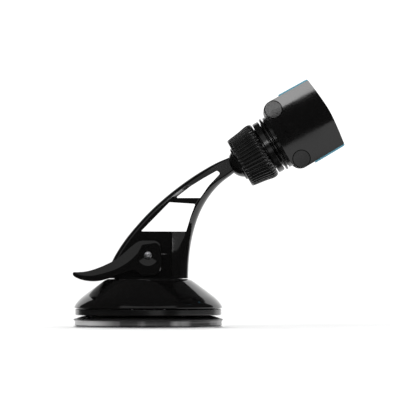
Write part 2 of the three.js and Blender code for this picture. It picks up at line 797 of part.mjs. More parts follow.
function jawSpring(side, up) {
  const spring = coil(1.75, 0.25, 3.3, HOUSING_HALF_Y - WALL - 0.3, 5, 9);
  spring.rotateX(-Math.PI / 2).scale(1, side, 1);
  return oriented(spring.translate(ROD_S, 0, HEAD_N + up * ROD_N));
}

// ---------------------------------------------------------------- rack and pinion
function involute(angle) {
  return Math.tan(angle) - angle;
}

const TOOTH = Math.PI * MODULE / 2 - BACKLASH / 2;

function pinionOutline() {
  const baseRadius = PITCH_R * Math.cos(PRESSURE);
  const tip = PITCH_R + ADDENDUM;
  const root = PITCH_R - DEDENDUM;
  const halfAngle = (radius) => {
    const pressure = Math.acos(Math.min(1, baseRadius / radius));
    return TOOTH / (2 * PITCH_R) + involute(PRESSURE) - involute(pressure);
  };
  const flank = [baseRadius, 5.8, 6.2, 6.5, tip].map((radius) => [radius, halfAngle(radius)]);
  flank.unshift([root, halfAngle(baseRadius)]);
  const points = [];
  for (let tooth = 0; tooth < TEETH; tooth += 1) {
    const middle = Math.PI / 2 + 2 * Math.PI * tooth / TEETH;
    for (const [radius, angle] of flank) {
      points.push([radius, middle - angle]);
    }
    for (const [radius, angle] of [...flank].reverse()) {
      points.push([radius, middle + angle]);
    }
  }
  const shape = new THREE.Shape();
  points.forEach(([radius, angle], i) => {
    const [y, n] = [radius * Math.cos(angle), radius * Math.sin(angle)];
    if (i === 0) {
      shape.moveTo(y, n);
    } else {
      shape.lineTo(y, n);
    }
  });
  shape.closePath();
  return shape;
}

// A shape drawn in the YZ plane of the head's frame, given thickness along X.
function thickAlongX(shape, low, high) {
  const options = { depth: high - low, bevelEnabled: false, curveSegments: 4 };
  const geometry = new THREE.ExtrudeGeometry(shape, options);
  geometry.rotateX(Math.PI / 2).rotateZ(Math.PI / 2);
  return oriented(geometry.translate(low, 0, HEAD_N));
}

function pinion() {
  const wheel = thickAlongX(pinionOutline(), ...RACK_S);
  const bore = alongX(rod(1.66, 20, 40, 32)).translate(0, 0, HEAD_N);
  return carved(wheel, [bore]);
}

function pinionPin() {
  const rear = HOUSING_S[0] + REAR_WALL + 0.2;
  const front = PLATE_S[0] + 0.9;
  return alongX(rod(1.6, rear, front, 32)).translate(0, 0, HEAD_N);
}

// The near jaw's rack lies above the pinion and the far jaw's below it.
function rack(side) {
  const shape = new THREE.Shape();
  const pitch = Math.PI * MODULE;
  const slope = Math.tan(PRESSURE);
  const tipHalf = TOOTH / 2 - ADDENDUM * slope;
  const rootHalf = TOOTH / 2 + DEDENDUM * slope;
  const [tip, root] = [PITCH_R - ADDENDUM, PITCH_R + DEDENDUM];
  const [near, reach] = [-LINER_Y[1], RACK_REACH];
  shape.moveTo(near, RACK_BACK);
  shape.lineTo(near, root);
  const teeth = Math.floor(RACK_REACH / pitch - 0.5);
  for (let k = -teeth; k <= teeth; k += 1) {
    const middle = (k + 0.5) * pitch;
    if (middle + rootHalf < reach) {
      shape.lineTo(middle - rootHalf, root);
      shape.lineTo(middle - tipHalf, tip);
      shape.lineTo(middle + tipHalf, tip);
      shape.lineTo(middle + rootHalf, root);
    }
  }
  shape.lineTo(reach, root);
  shape.lineTo(reach, RACK_BACK);
  shape.closePath();
  const bar = thickAlongX(shape, ...RACK_S);
  if (side > 0) {
    bar.translate(0, 0, -HEAD_N).rotateX(Math.PI).translate(0, 0, HEAD_N);
  }
  return bar;
}

// ---------------------------------------------------------------- assembly
function add(group, name, geometry, look) {
  const mesh = new THREE.Mesh(geometry, look);
  mesh.name = name;
  group.add(mesh);
}

const mount = new THREE.Group();
add(mount, 'gel_pad', gelPad(), GEL);
add(mount, 'suction_cup', suctionCup(), DARK_RUBBER);
add(mount, 'pressure_ring', pressureRing(), SATIN_BLACK);
add(mount, 'base_dome', baseDome(), GLOSS_BLACK);
add(mount, 'dome_screw_left', domeScrew(-1), STEEL);
add(mount, 'dome_screw_right', domeScrew(1), STEEL);
add(mount, 'arm', arm(), GLOSS_BLACK);
add(mount, 'pull_stem', pullStem(), STEEL);
add(mount, 'return_spring', returnSpring(), SPRING_STEEL);
add(mount, 'cross_pin', crossPin(), STEEL);
add(mount, 'pin_retainer', pinRetainer(), STEEL);
add(mount, 'cam_lever', camLever(), GLOSS_BLACK);

const head = new THREE.Group();
head.position.set(...BALL);
head.rotation.y = -HEAD_PITCH;
mount.add(head);
add(head, 'ball_seat', ballSeat(), NYLON);
add(head, 'collet', collet(), SATIN_BLACK);
add(head, 'neck', neck(), SATIN_BLACK);
add(head, 'lock_nut', lockNut(), SATIN_BLACK);
add(head, 'slip_ring', slipRing(), SATIN_BLACK);
NECK_SCREW_ANGLES.forEach((angle, i) => {
  add(head, `neck_screw_${i + 1}`, neckScrew(angle), STEEL);
});
add(head, 'head_housing', headHousing(), GLOSS_BLACK);
add(head, 'front_plate', frontPlate(), SATIN_BLACK);
add(head, 'rest_pad', restPad(), BLUE_RUBBER);
plateScrewPlaces().forEach((place, i) => {
  add(head, `plate_screw_${i + 1}`, plateScrew(place), STEEL);
});
add(head, 'pinion', pinion(), NYLON);
add(head, 'pinion_pin', pinionPin(), STEEL);
for (const [side, name] of [[-1, 'near'], [1, 'far']]) {
  add(head, `jaw_${name}`, jaw(side), GLOSS_BLACK);
  add(head, `jaw_liner_${name}`, jawLiner(side), BLUE_RUBBER);
  add(head, `rack_${name}`, rack(side), NYLON);
  for (const [up, level] of [[1, 'upper'], [-1, 'lower']]) {
    add(head, `guide_rod_${name}_${level}`, guideRod(side, up), STEEL);
    add(head, `rod_cap_${name}_${level}`, rodCap(side, up), SATIN_BLACK);
    add(head, `jaw_spring_${name}_${level}`, jawSpring(side, up), SPRING_STEEL);
  }
}

export default mount;
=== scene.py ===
"""Car phone mount: the looks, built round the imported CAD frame. Everything is in metres."""
import json
import math

import bmesh
import bpy
from mathutils import Matrix, Vector

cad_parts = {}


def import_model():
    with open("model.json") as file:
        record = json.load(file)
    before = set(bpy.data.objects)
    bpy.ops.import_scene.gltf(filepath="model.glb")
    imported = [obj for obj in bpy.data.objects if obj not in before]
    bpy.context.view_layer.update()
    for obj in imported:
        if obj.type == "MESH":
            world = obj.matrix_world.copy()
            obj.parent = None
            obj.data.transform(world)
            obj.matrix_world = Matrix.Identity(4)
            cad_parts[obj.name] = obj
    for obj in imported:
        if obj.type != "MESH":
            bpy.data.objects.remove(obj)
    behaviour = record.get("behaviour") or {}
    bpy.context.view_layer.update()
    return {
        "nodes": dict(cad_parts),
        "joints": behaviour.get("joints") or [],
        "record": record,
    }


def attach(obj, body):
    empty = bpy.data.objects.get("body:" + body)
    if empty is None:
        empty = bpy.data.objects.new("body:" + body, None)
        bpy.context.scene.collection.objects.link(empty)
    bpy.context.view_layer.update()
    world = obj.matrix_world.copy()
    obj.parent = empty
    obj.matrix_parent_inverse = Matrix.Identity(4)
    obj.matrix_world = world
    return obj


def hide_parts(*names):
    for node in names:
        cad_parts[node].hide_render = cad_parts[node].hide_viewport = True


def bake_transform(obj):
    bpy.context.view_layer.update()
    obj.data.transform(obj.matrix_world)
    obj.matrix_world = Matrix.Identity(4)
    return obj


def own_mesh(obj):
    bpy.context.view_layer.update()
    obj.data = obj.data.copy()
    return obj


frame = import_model()
MM = 0.001

# ---- places read from the frame
JOINTS = {joint["name"]: joint for joint in frame["joints"]}
BALL = Vector(JOINTS["head_tilt"]["pos_m"])
AXIS = Vector(JOINTS["head_spin"]["axis"]).normalized()
RISE = Vector(JOINTS["head_swing"]["axis"]).normalized()
PIVOT = Vector(JOINTS["lever_hinge"]["pos_m"])
PIVOT_Z = PIVOT.z / MM
BASE = Matrix.Identity(4)
HEAD = Matrix((
    (AXIS.x, 0, RISE.x, BALL.x),
    (AXIS.y, 1, RISE.y, BALL.y),
    (AXIS.z, 0, RISE.z, BALL.z),
    (0, 0, 0, 1),
))


def spans(node, basis=BASE):
    """A CAD node's (low, high) along each axis of a basis, in millimetres."""
    inverse = basis.inverted()
    points = [inverse @ v.co / MM for v in frame["nodes"][node].data.vertices]
    return [(min(p[i] for p in points), max(p[i] for p in points)) for i in range(3)]


# ---- materials
class Nodes:
    """A principled material under construction, with short ways to add nodes to it."""

    def __init__(self, name, color, roughness, metallic=0.0, specular=0.5):
        self.material = bpy.data.materials.new(name)
        self.material.use_nodes = True
        self.tree = self.material.node_tree
        self.shader = self.tree.nodes["Principled BSDF"]
        self.set("Base Color", (*color, 1))
        self.set("Roughness", roughness)
        self.set("Metallic", metallic)
        self.set("Specular IOR Level", specular)
        self.place = self.add("ShaderNodeTexCoord").outputs["Object"]

    def set(self, socket, value):
        self.shader.inputs[socket].default_value = value

    def add(self, kind, **settings):
        node = self.tree.nodes.new(kind)
        for key, value in settings.items():
            setattr(node, key, value)
        return node

    def link(self, a, b):
        self.tree.links.new(a, b)

    def noise(self, scale, detail=4.0, stretch=(1, 1, 1)):
        mapping = self.add("ShaderNodeMapping")
        mapping.inputs["Scale"].default_value = stretch
        self.link(self.place, mapping.inputs["Vector"])
        noise = self.add("ShaderNodeTexNoise")
        noise.inputs["Scale"].default_value = scale
        noise.inputs["Detail"].default_value = detail
        self.link(mapping.outputs["Vector"], noise.inputs["Vector"])
        return noise.outputs["Fac"]

    def rough(self, scale, detail, low, high):
        """Roughness that wanders between low and high."""
        self.link(self.spread(self.noise(scale, detail), low, high), self.shader.inputs["Roughness"])

    def spread(self, value, low, high, start=0.3, stop=0.7):
        """Maps a texture value from start..stop to low..high."""
        node = self.add("ShaderNodeMapRange")
        for socket, number in zip(("From Min", "From Max", "To Min", "To Max"), (start, stop, low, high)):
            node.inputs[socket].default_value = number
        self.link(value, node.inputs["Value"])
        return node.outputs["Result"]

    def tint(self, scale, detail, color_a, color_b, start=0.3, stop=0.7):
        """Base colour that wanders between two colours."""
        value = self.spread(self.noise(scale, detail), 0, 1, start, stop)
        mix = self.add("ShaderNodeMix", data_type="RGBA")
        mix.inputs["A"].default_value = (*color_a, 1)
        mix.inputs["B"].default_value = (*color_b, 1)
        self.link(value, mix.inputs["Factor"])
        self.link(mix.outputs["Result"], self.shader.inputs["Base Color"])

    def over(self, mask, grey):
        """Lays a grey over the base colour where the mask is 1."""
        base = self.shader.inputs["Base Color"]
        mix = self.add("ShaderNodeMix", data_type="RGBA")
        self.link(base.links[0].from_socket, mix.inputs["A"])
        self.link(grey, mix.inputs["B"])
        self.link(mask, mix.inputs["Factor"])
        self.link(mix.outputs["Result"], base)

    def bump(self, value, depth_mm, strength=1.0):
        node = self.add("ShaderNodeBump")
        node.inputs["Strength"].default_value = strength
        node.inputs["Distance"].default_value = depth_mm * MM
        self.link(value, node.inputs["Height"])
        last = self.shader.inputs["Normal"].links
        if last:
            self.link(last[0].from_socket, node.inputs["Normal"])
        self.link(node.outputs["Normal"], self.shader.inputs["Normal"])


def gloss_black():
    """Polished black plastic: handling smears vary its gloss, with a faint orange peel."""
    m = Nodes("gloss_black", (0.0045, 0.0045, 0.005), 0.1)
    m.rough(38, 5, 0.05, 0.11)
    m.tint(900, 2, (0.0022, 0.0021, 0.0021), (0.0045, 0.0043, 0.0042), 0.55, 0.8)
    m.bump(m.noise(260, 2), 0.006)
    m.bump(m.noise(4200, 1), 0.0008)
    return m.material


def satin_black():
    """Moulded black plastic with a fine spark-eroded texture."""
    m = Nodes("satin_black", (0.0035, 0.0035, 0.0036), 0.3)
    m.rough(120, 4, 0.16, 0.26)
    m.tint(60, 3, (0.003, 0.003, 0.003), (0.005, 0.0049, 0.0048))
    m.bump(m.noise(2600, 2), 0.012)
    return m.material


def cup_rubber():
    """Dark rubber with a soft gloss; the upright band at its foot is cloudy grey, with a painted reflection
    that makes it lighter towards -X and streaked round the rim.
    """
    m = Nodes("cup_rubber", (0.012, 0.012, 0.012), 0.32)
    m.rough(90, 5, 0.26, 0.42)
    m.tint(420, 4, (0.011, 0.011, 0.011), (0.022, 0.022, 0.022), 0.5, 0.75)
    parts = m.add("ShaderNodeSeparateXYZ")
    m.link(m.place, parts.inputs["Vector"])
    band_top = 3.3 * MM
    band = m.spread(parts.outputs["Z"], 1, 0, band_top, band_top + 0.5 * MM)
    # Grey streaks round the band: uneven cloudy tone, and painted reflection too.
    streaks = m.spread(m.noise(75, 3, (1, 1, 0.02)), 0.03, 0.2, 0.5, 0.68)
    # Painted reflection: the band is painted lighter towards its -X end, as light falling there would make
    # it.
    pale_painted_reflection = m.spread(parts.outputs["X"], 0.42, 0.02, -0.030, -0.014)
    # The band's grey: whichever is lighter of the streaks and the painted reflection.
    band_grey_and_painted_reflection = m.add("ShaderNodeMath", operation="MAXIMUM")
    m.link(streaks, band_grey_and_painted_reflection.inputs[0])
    m.link(pale_painted_reflection, band_grey_and_painted_reflection.inputs[1])
    m.over(band, band_grey_and_painted_reflection.outputs["Value"])
    m.bump(m.noise(1500, 3), 0.01)
    return m.material


def gel():
    """Clear smoke-grey gel, slightly cloudy, with dust stuck to it."""
    m = Nodes("gel", (0.5, 0.515, 0.53), 0.1)
    m.set("Transmission Weight", 0.92)
    m.set("IOR", 1.42)
    m.rough(70, 4, 0.05, 0.16)
    m.tint(300, 4, (0.5, 0.515, 0.53), (0.42, 0.43, 0.44), 0.5, 0.8)
    m.bump(m.noise(600, 3), 0.01)
    return m.material


def blue_rubber():
    """Soft blue rubber: matt, slightly sheened, with a fine grain."""
    m = Nodes("blue_rubber", (0.045, 0.30, 0.47), 0.5)
    m.set("Sheen Weight", 0.25)
    m.set("Sheen Roughness", 0.4)
    m.rough(150, 4, 0.42, 0.6)
    m.tint(110, 4, (0.13, 0.4, 0.53), (0.17, 0.46, 0.6))
    m.bump(m.noise(2200, 3), 0.02)
    return m.material


def steel(name, color, roughness, stretch):
    """Drawn or turned steel, with streaks along the axis whose number in stretch is the smallest."""
    m = Nodes(name, color, roughness, metallic=1.0)
    streaks = m.noise(500, 3, stretch)
    m.link(m.spread(streaks, roughness * 0.7, roughness * 1.4), m.shader.inputs["Roughness"])
    m.tint(80, 3, color, tuple(0.82 * c for c in color))
    m.bump(streaks, 0.004)
    return m.material


def nylon():
    m = Nodes("nylon", (0.62, 0.59, 0.52), 0.5)
    m.set("Subsurface Weight", 0.15)
    m.set("Subsurface Scale", 0.001)
    m.rough(200, 3, 0.42, 0.58)
    m.tint(140, 3, (0.6, 0.57, 0.5), (0.68, 0.66, 0.6))
    m.bump(m.noise(1800, 2), 0.01)
    return m.material


MATERIALS = {
    "gloss_black": gloss_black(),
    "satin_black": satin_black(),
    "cup_rubber": cup_rubber(),
    "gel": gel(),
    "blue_rubber": blue_rubber(),
    "steel": steel("steel", (0.62, 0.62, 0.64), 0.28, (1, 1, 0.15)),
    "spring_steel": steel("spring_steel", (0.42, 0.42, 0.44), 0.32, (0.2, 1, 1)),
    "nylon": nylon(),
}
SLOT_OF = {row["node"]: row["material_slot"] for row in frame["record"]["subparts"]}
BODY_OF = {n: b for b, members in frame["record"]["behaviour"]["bodies"].items() for n in members}

# ---- mesh tools, in millimetres


def smooth(piece, angle):
    """Smooth faces, with edges sharper than the angle in degrees kept sharp."""
    bm = bmesh.new()
    bm.from_mesh(piece.data)
    limit = math.radians(angle)
    for face in bm.faces:
        face.smooth = True
    for edge in bm.edges:
        sharp = len(edge.link_faces) == 2 and edge.calc_face_angle(0) > limit
        edge.smooth = not sharp
    bm.to_mesh(piece.data)
    bm.free()
    modifier = piece.modifiers.new("normals", "WEIGHTED_NORMAL")
    modifier.keep_sharp = True
    applied(piece)


def finished(piece, node, angle=30):
    """Smooths a piece, gives it its node's material, slot and body, and hides the node that it stands for."""
    smooth(piece, angle)
    piece.data.materials.clear()
    piece.data.materials.append(MATERIALS[SLOT_OF[node]])
    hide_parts(node)
    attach(piece, BODY_OF[node])
    return piece


def squeezed(piece, node, angle):
    """As finished, then gives the soft piece a mesh of its own."""
    finished(piece, node, angle)
    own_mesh(piece)
    return piece


def linked(name, bm):
    """A new mesh object in the scene, from a bmesh in metres."""
    mesh = bpy.data.meshes.new(name)
    bm.to_mesh(mesh)
    bm.free()
    piece = bpy.data.objects.new(name, mesh)
    bpy.context.scene.collection.objects.link(piece)
    return piece


def new_object(name, bm, basis=BASE):
    """A mesh object from a bmesh drawn in millimetres in a basis."""
    bmesh.ops.recalc_face_normals(bm, faces=bm.faces)
    bm.transform(basis @ Matrix.Scale(MM, 4))
    return linked(name, bm)


def offset_by(x, y, z, basis=BASE):
    """A move in millimetres along the axes of a basis, followed by the basis itself."""
    return basis @ Matrix.Translation(Vector((x, y, z)) * MM)


def skinned(bm, rings):
    """Faces between rings with as many points each, closed at both ends."""
    count = len(rings[0])
    for low, high in zip(rings, rings[1:]):
        for k in range(count):
            after = (k + 1) % count
            bm.faces.new((low[k], low[after], high[after], high[k]))
    bm.faces.new(list(reversed(rings[0])))
    bm.faces.new(rings[-1])


def applied(piece):
    """The piece with its modifiers made part of its mesh."""
    graph = bpy.context.evaluated_depsgraph_get()
    graph.update()
    mesh = bpy.data.meshes.new_from_object(piece.evaluated_get(graph))
    piece.modifiers.clear()
    piece.data = mesh
    return piece


def combined(piece, others, operation):
    for other in others:
        modifier = piece.modifiers.new("cut", "BOOLEAN")
        modifier.operation = operation
        modifier.solver = "EXACT"
        modifier.object = other
        applied(piece)
    for other in others:
        bpy.data.objects.remove(other)
    return piece


def carved(piece, cutters):
    return combined(piece, cutters, "DIFFERENCE")


def joined(piece, others):
    return combined(piece, others, "UNION")


def bevelled(piece, width, segments=3, angle=30):
    modifier = piece.modifiers.new("bevel", "BEVEL")
    modifier.width = width * MM
    modifier.segments = segments
    modifier.limit_method = "ANGLE"
    modifier.angle_limit = math.radians(angle)
    return applied(piece)


def filleted(corners, steps=5):
    """Points round a profile whose corners are (x, y, fillet radius)."""
    points = []
    count = len(corners)
    for i, (x, y, radius) in enumerate(corners):
        here = Vector((x, y))
        before = Vector(corners[i - 1][:2])
        after = Vector(corners[(i + 1) % count][:2])
        a, b = (before - here), (after - here)
        half = a.angle(b, math.pi) / 2
        if radius <= 0 or half > math.radians(89.5):
            points.append((x, y))
            continue
        back = min(radius / math.tan(half), a.length * 0.49, b.length * 0.49)
        true_radius = back * math.tan(half)
        a.normalize()
        b.normalize()
        centre = here + (a + b).normalized() * (true_radius / math.sin(half))
        start, end = here + a * back - centre, here + b * back - centre
        turn = start.angle_signed(end)
        for k in range(steps + 1):
            point = centre + Matrix.Rotation(-turn * k / steps, 2) @ start
            points.append((point.x, point.y))
    return points


def mixed(p, q, start, stop, x):
    """The value at x on the straight line from p at start to q at stop."""
    return (stop - x) / (stop - start) * p + (x - start) / (stop - start) * q


def curve_through(points, steps=8):
    """A smooth line through a few points (centripetal Catmull-Rom)."""
    line = [Vector(p) for p in points]
    line = [2 * line[0] - line[1], *line, 2 * line[-1] - line[-2]]
    out = []
    for p0, p1, p2, p3 in zip(line, line[1:], line[2:], line[3:]):
        t = [0.0]
        for a, b in ((p0, p1), (p1, p2), (p2, p3)):
            t.append(t[-1] + max((b - a).length, 1e-9) ** 0.5)
        for k in range(steps):
            x = t[1] + (t[2] - t[1]) * k / steps
            a1 = mixed(p0, p1, t[0], t[1], x)
            a2 = mixed(p1, p2, t[1], t[2], x)
            a3 = mixed(p2, p3, t[2], t[3], x)
            b1 = mixed(a1, a2, t[0], t[2], x)
            b2 = mixed(a2, a3, t[1], t[3], x)
            out.append(tuple(mixed(b1, b2, t[1], t[2], x)))
    out.append(tuple(line[-2]))
    return out


def along(stations, key):
    """The value at a key, read off a few (key, value) stations with straight lines between."""
    for (k0, v0), (k1, v1) in zip(stations, stations[1:]):
        if key <= k1:
            return v0 + (v1 - v0) * max(0.0, key - k0) / (k1 - k0)
    return stations[-1][1]


# A profile is turned about Z, and then laid on one of these axes.
TO_AXIS = {
    "X": Matrix.Rotation(math.pi / 2, 4, "Y"),
    "Y": Matrix.Rotation(-math.pi / 2, 4, "X"),
    "Z": BASE,
}


def turned(name, profile, basis=BASE, segments=128, axis="Z", shape=None):
    """A closed profile of (radius, height) turned about an axis of the basis.
    shape(radius, height, angle) can change the radius as it goes round."""
    bm = bmesh.new()
    rings = []
    for r, z in profile:
        if r < 1e-6:
            rings.append([bm.verts.new((0, 0, z))] * segments)
            continue
        ring = []
        for k in range(segments):
            angle = 2 * math.pi * k / segments
            reach = shape(r, z, angle) if shape else r
            ring.append(bm.verts.new((reach * math.cos(angle), reach * math.sin(angle), z)))
        rings.append(ring)
    pairs = list(zip(rings, rings[1:] + rings[:1]))
    if profile[0][0] < 1e-6 and profile[-1][0] < 1e-6:
        pairs.pop()
    for low, high in pairs:
        for k in range(segments):
            after = (k + 1) % segments
            corners = []
            for vertex in (low[k], low[after], high[after], high[k]):
                if vertex not in corners:
                    corners.append(vertex)
            if len(corners) > 2:
                bm.faces.new(corners)
    bm.transform(TO_AXIS[axis])
    return new_object(name, bm, basis)


def lathed(node, profile, angle, basis=BASE, segments=192, axis="Z", shape=None):
    """A finished piece that is one turned profile."""
    return finished(turned(f"{node}_skin", profile, basis, segments, axis, shape), node, angle)


def cylinder(radius, low, high, centre=(0, 0), basis=BASE, axis="Y", segments=64):
    """A cutter: a cylinder along an axis of the basis. centre is its place in the other two axes."""
    piece = turned("cutter", [(0, low), (radius, low), (radius, high), (0, high)], BASE, segments, axis)
    a, b = centre
    offset = {"X": (0, a, b), "Y": (a, 0, b), "Z": (a, b, 0)}[axis]
    piece.data.transform(offset_by(*offset, basis))
    return piece


def extruded(name, outline, low, high, basis=BASE, axis="Y"):
    """A flat outline given thickness along one axis of the basis, drawn in its other two."""
    order = {"X": (2, 0, 1), "Y": (0, 2, 1), "Z": (0, 1, 2)}[axis]
    bm = bmesh.new()
    ends = []
    for depth in (low, high):
        ends.append([bm.verts.new([(a, b, depth)[i] for i in order]) for a, b in outline])
    bm.faces.new(ends[0])
    bm.faces.new(list(reversed(ends[1])))
    count = len(outline)
    for k in range(count):
        after = (k + 1) % count
        bm.faces.new((ends[0][k], ends[0][after], ends[1][after], ends[1][k]))
    return new_object(name, bm, basis)


def block(low, high, basis=BASE):
    """A cutter: a box from its low corner to its high corner."""
    outline = [(low[0], low[2]), (high[0], low[2]), (high[0], high[2]), (low[0], high[2])]
    return extruded("cutter", outline, low[1], high[1], basis)


# ---- suction base
def gel_pad():
    """The sticky disc: drawn up in the middle while the lever is locked, its lip turned up a little."""
    radius = spans("gel_pad")[0][1]
    thick = 0.62
    under = curve_through([(0.0, 1.7), (8, 1.6), (15, 0.9), (21, 0.2), (25, 0.0)], 6)
    top = [(r, z + thick) for r, z in reversed(under)]
    rim = filleted([
        (25, 0.0, 0), (radius - 1.2, 0.0, 0.8), (radius, 0.2, 0.1), (radius, 0.6, 0.12),
        (radius - 0.5, 0.64, 0.1), (radius - 1.4, thick, 0.4), (25, thick, 0),
    ], 4)
    piece = turned("gel_pad_skin", [*under, *rim[1:-1], *top], segments=192)
    return squeezed(piece, "gel_pad", 50)


def suction_cup():
    """The rubber cup: an upright band, a thin lip above it and a cone up to the dome."""
    (low, high), radius = spans("suction_cup")[2], spans("suction_cup")[0][1]
    band = radius - 0.6
    under = curve_through([(0.0, 2.4), (8, 2.3), (15, 1.6), (21, 0.9), (25, 0.7)], 6)
    side = filleted([
        (25, 0.7, 0), (band - 0.6, 0.72, 0.2), (band - 0.1, low + 0.05, 0.15), (band, 1.4, 0.3),
        (band - 0.2, 2.3, 1.5), (band, 3.2, 0.3), (radius - 0.05, 3.75, 0.2), (radius, 4.15, 0.15),
        (37.4, 4.95, 1.2), (35.2, 5.7, 0.5), (33, 6.0, 0.5), (20, 6.4, 3), (12, high, 1.0), (8.8, high, 0.3),
        (8.6, high - 0.4, 0.2), (0, high - 0.4, 0),
    ], 5)
    piece = turned("suction_cup_skin", [*under, *side[1:]], segments=192)
    return squeezed(piece, "suction_cup", 40)


def pressure_ring():
    (low, high), radius = spans("pressure_ring")[2], spans("pressure_ring")[0][1]
    profile = filleted([
        (34.9, low + 0.3, 0.2), (36.2, low, 0.3), (radius - 0.35, low, 0.3), (radius, low + 0.45, 0.3),
        (radius, high - 0.25, 0.2), (radius - 0.3, high, 0.15), (34.9, high, 0.2),
    ], 5)
    return lathed("pressure_ring", profile, 40)


DOME_CURVE = [
    (39.5, 10.55), (38.7, 12.1), (37.3, 13.9), (35.6, 15.6), (33.4, 17.35), (28.6, 20.95), (25.2, 23.4),
    (23.2, 24.75), (21.6, 25.45),
]


def base_dome():
    """The dome shell, with its rounded lip, a wall of even thickness and ribs under it."""
    low, high = spans("base_dome")[2]
    outside = curve_through(DOME_CURVE, 6)
    wall, recess_depth, recess_r, bore_r, boss_r = 2.4, 0.6, 18.5, 4.3, 5.4
    ceiling = high - wall
    sunk = high - recess_depth
    boss_foot = ceiling - 4
    top = [
        (20.6, high), (recess_r + 0.3, high), (recess_r, high - 0.25), (recess_r, sunk), (bore_r + 0.4, sunk),
        (bore_r, sunk - 0.4), (bore_r, boss_foot), (boss_r, boss_foot), (boss_r, ceiling),
    ]
    inside = curve_through([(20.4, ceiling), (26.4, 19.6), (31.6, 15.8), (34.9, 12.6), (35.6, 10.6)], 5)
    foot = filleted([
        (35.6, 10.4, 0), (35.8, low + 0.1, 0.3), (38.9, low + 0.05, 0.3), (39.45, low + 0.35, 0.28),
        (39.5, 10.5, 0),
    ], 5)
    piece = turned("base_dome_skin", [*outside, *top, *inside, *foot[1:-1]], segments=192)
    ribs = []
    for k in range(12):
        spin = Matrix.Rotation(math.radians(15 + 30 * k), 4, "Z")
        outline = [(8.2, 23.4), (8.2, 20.6), (22, 18.0), (33.9, 11.2), (35.7, 11.2), (32.0, 16.3), (21, 23.6)]
        ribs.append(extruded("rib", outline, -0.7, 0.7, spin))
    joined(piece, ribs)
    carved(piece, dome_screw_holes(15, 30))
    return finished(piece, "base_dome", 20)


def dome_screw_holes(low, high):
    return [cylinder(1.6, low, high, (place_of(node, BASE)[0], 0), axis="Z") for node in DOME_SCREWS]


# ---- arm
# The arm's right and left edges as (height, x), and its half thickness as (height, y).
ARM_RIGHT = [
    (25.9, 21.3), (32, 21.5), (38.5, 22.0), (45, 22.9), (51.3, 24.3), (58.5, 26.6), (64.9, 29.6),
    (71.5, 34.0), (77.0, 39.2), (81.3, 44.9), (83.6, 47.5), (86.4, 50.0), (90.4, 51.2),
]
ARM_LEFT = [
    (25.9, -20.6), (32, -20.2), (36.2, -18.6), (44.9, -13.3), (53.5, -6.5), (62, 1.4), (70.5, 10.9),
    (79, 22.2), (83.3, 28.9), (87.6, 36.7), (90.4, 43.4),
]
SLAB_HALF = [(25.9, 8.0), (50, 8.0), (58, 7.9), (64, 7.6), (70, 7.1), (76, 5.9), (82, 4.3), (90.4, 2.3)]
HUB_HALF = [(25.9, 13.0), (32, 12.9), (38, 12.55), (46, 11.2), (54, 9.0), (60, 7.6)]
POCKET_X = 12.6
LEDGE_Z = 26.3
BALL_R = 8.5
SPIGOT_R = 18.2
STEM_BORE_R = 4.2


def rounded_slice(x0, x1, half, left, right, steps=8):
    """A rectangle with round corners, as one horizontal slice of the arm."""
    points = []
    corners = (
        (x1 - right, half - right, right, 0), (x0 + left, half - left, left, 1),
        (x0 + left, left - half, left, 2), (x1 - right, right - half, right, 3),
    )
    for x, y, radius, quarter in corners:
        for k in range(steps + 1):
            angle = (quarter + k / steps) * math.pi / 2
            points.append((x + radius * math.cos(angle), y + radius * math.sin(angle)))
    return points


def lofted(name, heights, slice_at):
    """A solid through the horizontal outlines that slice_at gives for each height."""
    bm = bmesh.new()
    skinned(bm, [[bm.verts.new((x, y, z)) for x, y in slice_at(z)] for z in heights])
    return new_object(name, bm)


def stepped(low, high, count):
    """Evenly spaced values from low to high."""
    return [low + (high - low) * k / count for k in range(count + 1)]


def window(corners):
    """A cutter through the arm, front to back, with rounded (x, z, radius) corners."""
    return extruded("window", filleted(corners, 6), -20, 20)


def arm():
    """Hub, windowed arm and ball, as one moulding."""
    left, right, slab_half, hub_half = [
        curve_through(stations, 6) for stations in (ARM_LEFT, ARM_RIGHT, SLAB_HALF, HUB_HALF)
    ]
    spigot = spans("arm")[2][0]
    foot = spigot + 0.6

    def slab(z):
        half = along(slab_half, z)
        flat = half - 0.7
        return rounded_slice(along(left, z), along(right, z), half, min(3.4, flat), min(5.6, flat))

    def hub(z):
        half = along(hub_half, z)
        return rounded_slice(POCKET_X, along(right, z), half, 0.5, min(7.0, half - 1))

    piece = lofted("arm_skin", stepped(foot, 90.3, 56), slab)
    ball = turned("ball", ball_profile(BALL_R, 48), segments=96)
    ball.data.transform(Matrix.Translation(BALL))
    plug = cylinder(SPIGOT_R, spigot, foot + 0.2, axis="Z", segments=128)
    joined(piece, [lofted("hub", stepped(foot, 60, 28), hub), ledge(foot), plug, ball])
    cutters = [
        window([
            (-3.8, 50.9, 0.3), (20.3, 50.8, 0.6), (22.6, 58.6, 22), (25.2, 65.5, 0.6), (11.4, 66.4, 0.6),
        ]),
        window([
            (14.6, 68.7, 0.4), (27.8, 68.7, 0.5), (32.2, 75.1, 18), (38.6, 81.9, 1.0), (36.6, 83.2, 0.9),
            (29.2, 79.0, 12), (22.6, 74.9, 12),
        ]),
        pin_slot(),
        cylinder(STEM_BORE_R, spigot - 1, PIVOT_Z + 5.9, axis="Z"),
        *dome_screw_holes(spigot - 1, 34.8),
    ]
    carved(piece, cutters)
    bevelled(piece, 0.3, 3, 48)
    return finished(piece, "arm")


def pin_slot():
    """The upright slot that the lever's pin slides in."""
    half, travel = 2.5, 2.5
    low, high = PIVOT_Z - travel - half, PIVOT_Z + half
    outline = [(x, z, half - 0.01) for x, z in ((-half, low), (half, low), (half, high), (-half, high))]
    return extruded("slot", filleted(outline, 10), -20, 20)


def ball_profile(radius, steps):
    """Half a circle from pole to pole, to turn into a ball."""
    angles = [math.pi * k / steps for k in range(1, steps)]
    return [(0, -radius), *[(radius * math.sin(a), -radius * math.cos(a)) for a in angles], (0, radius)]


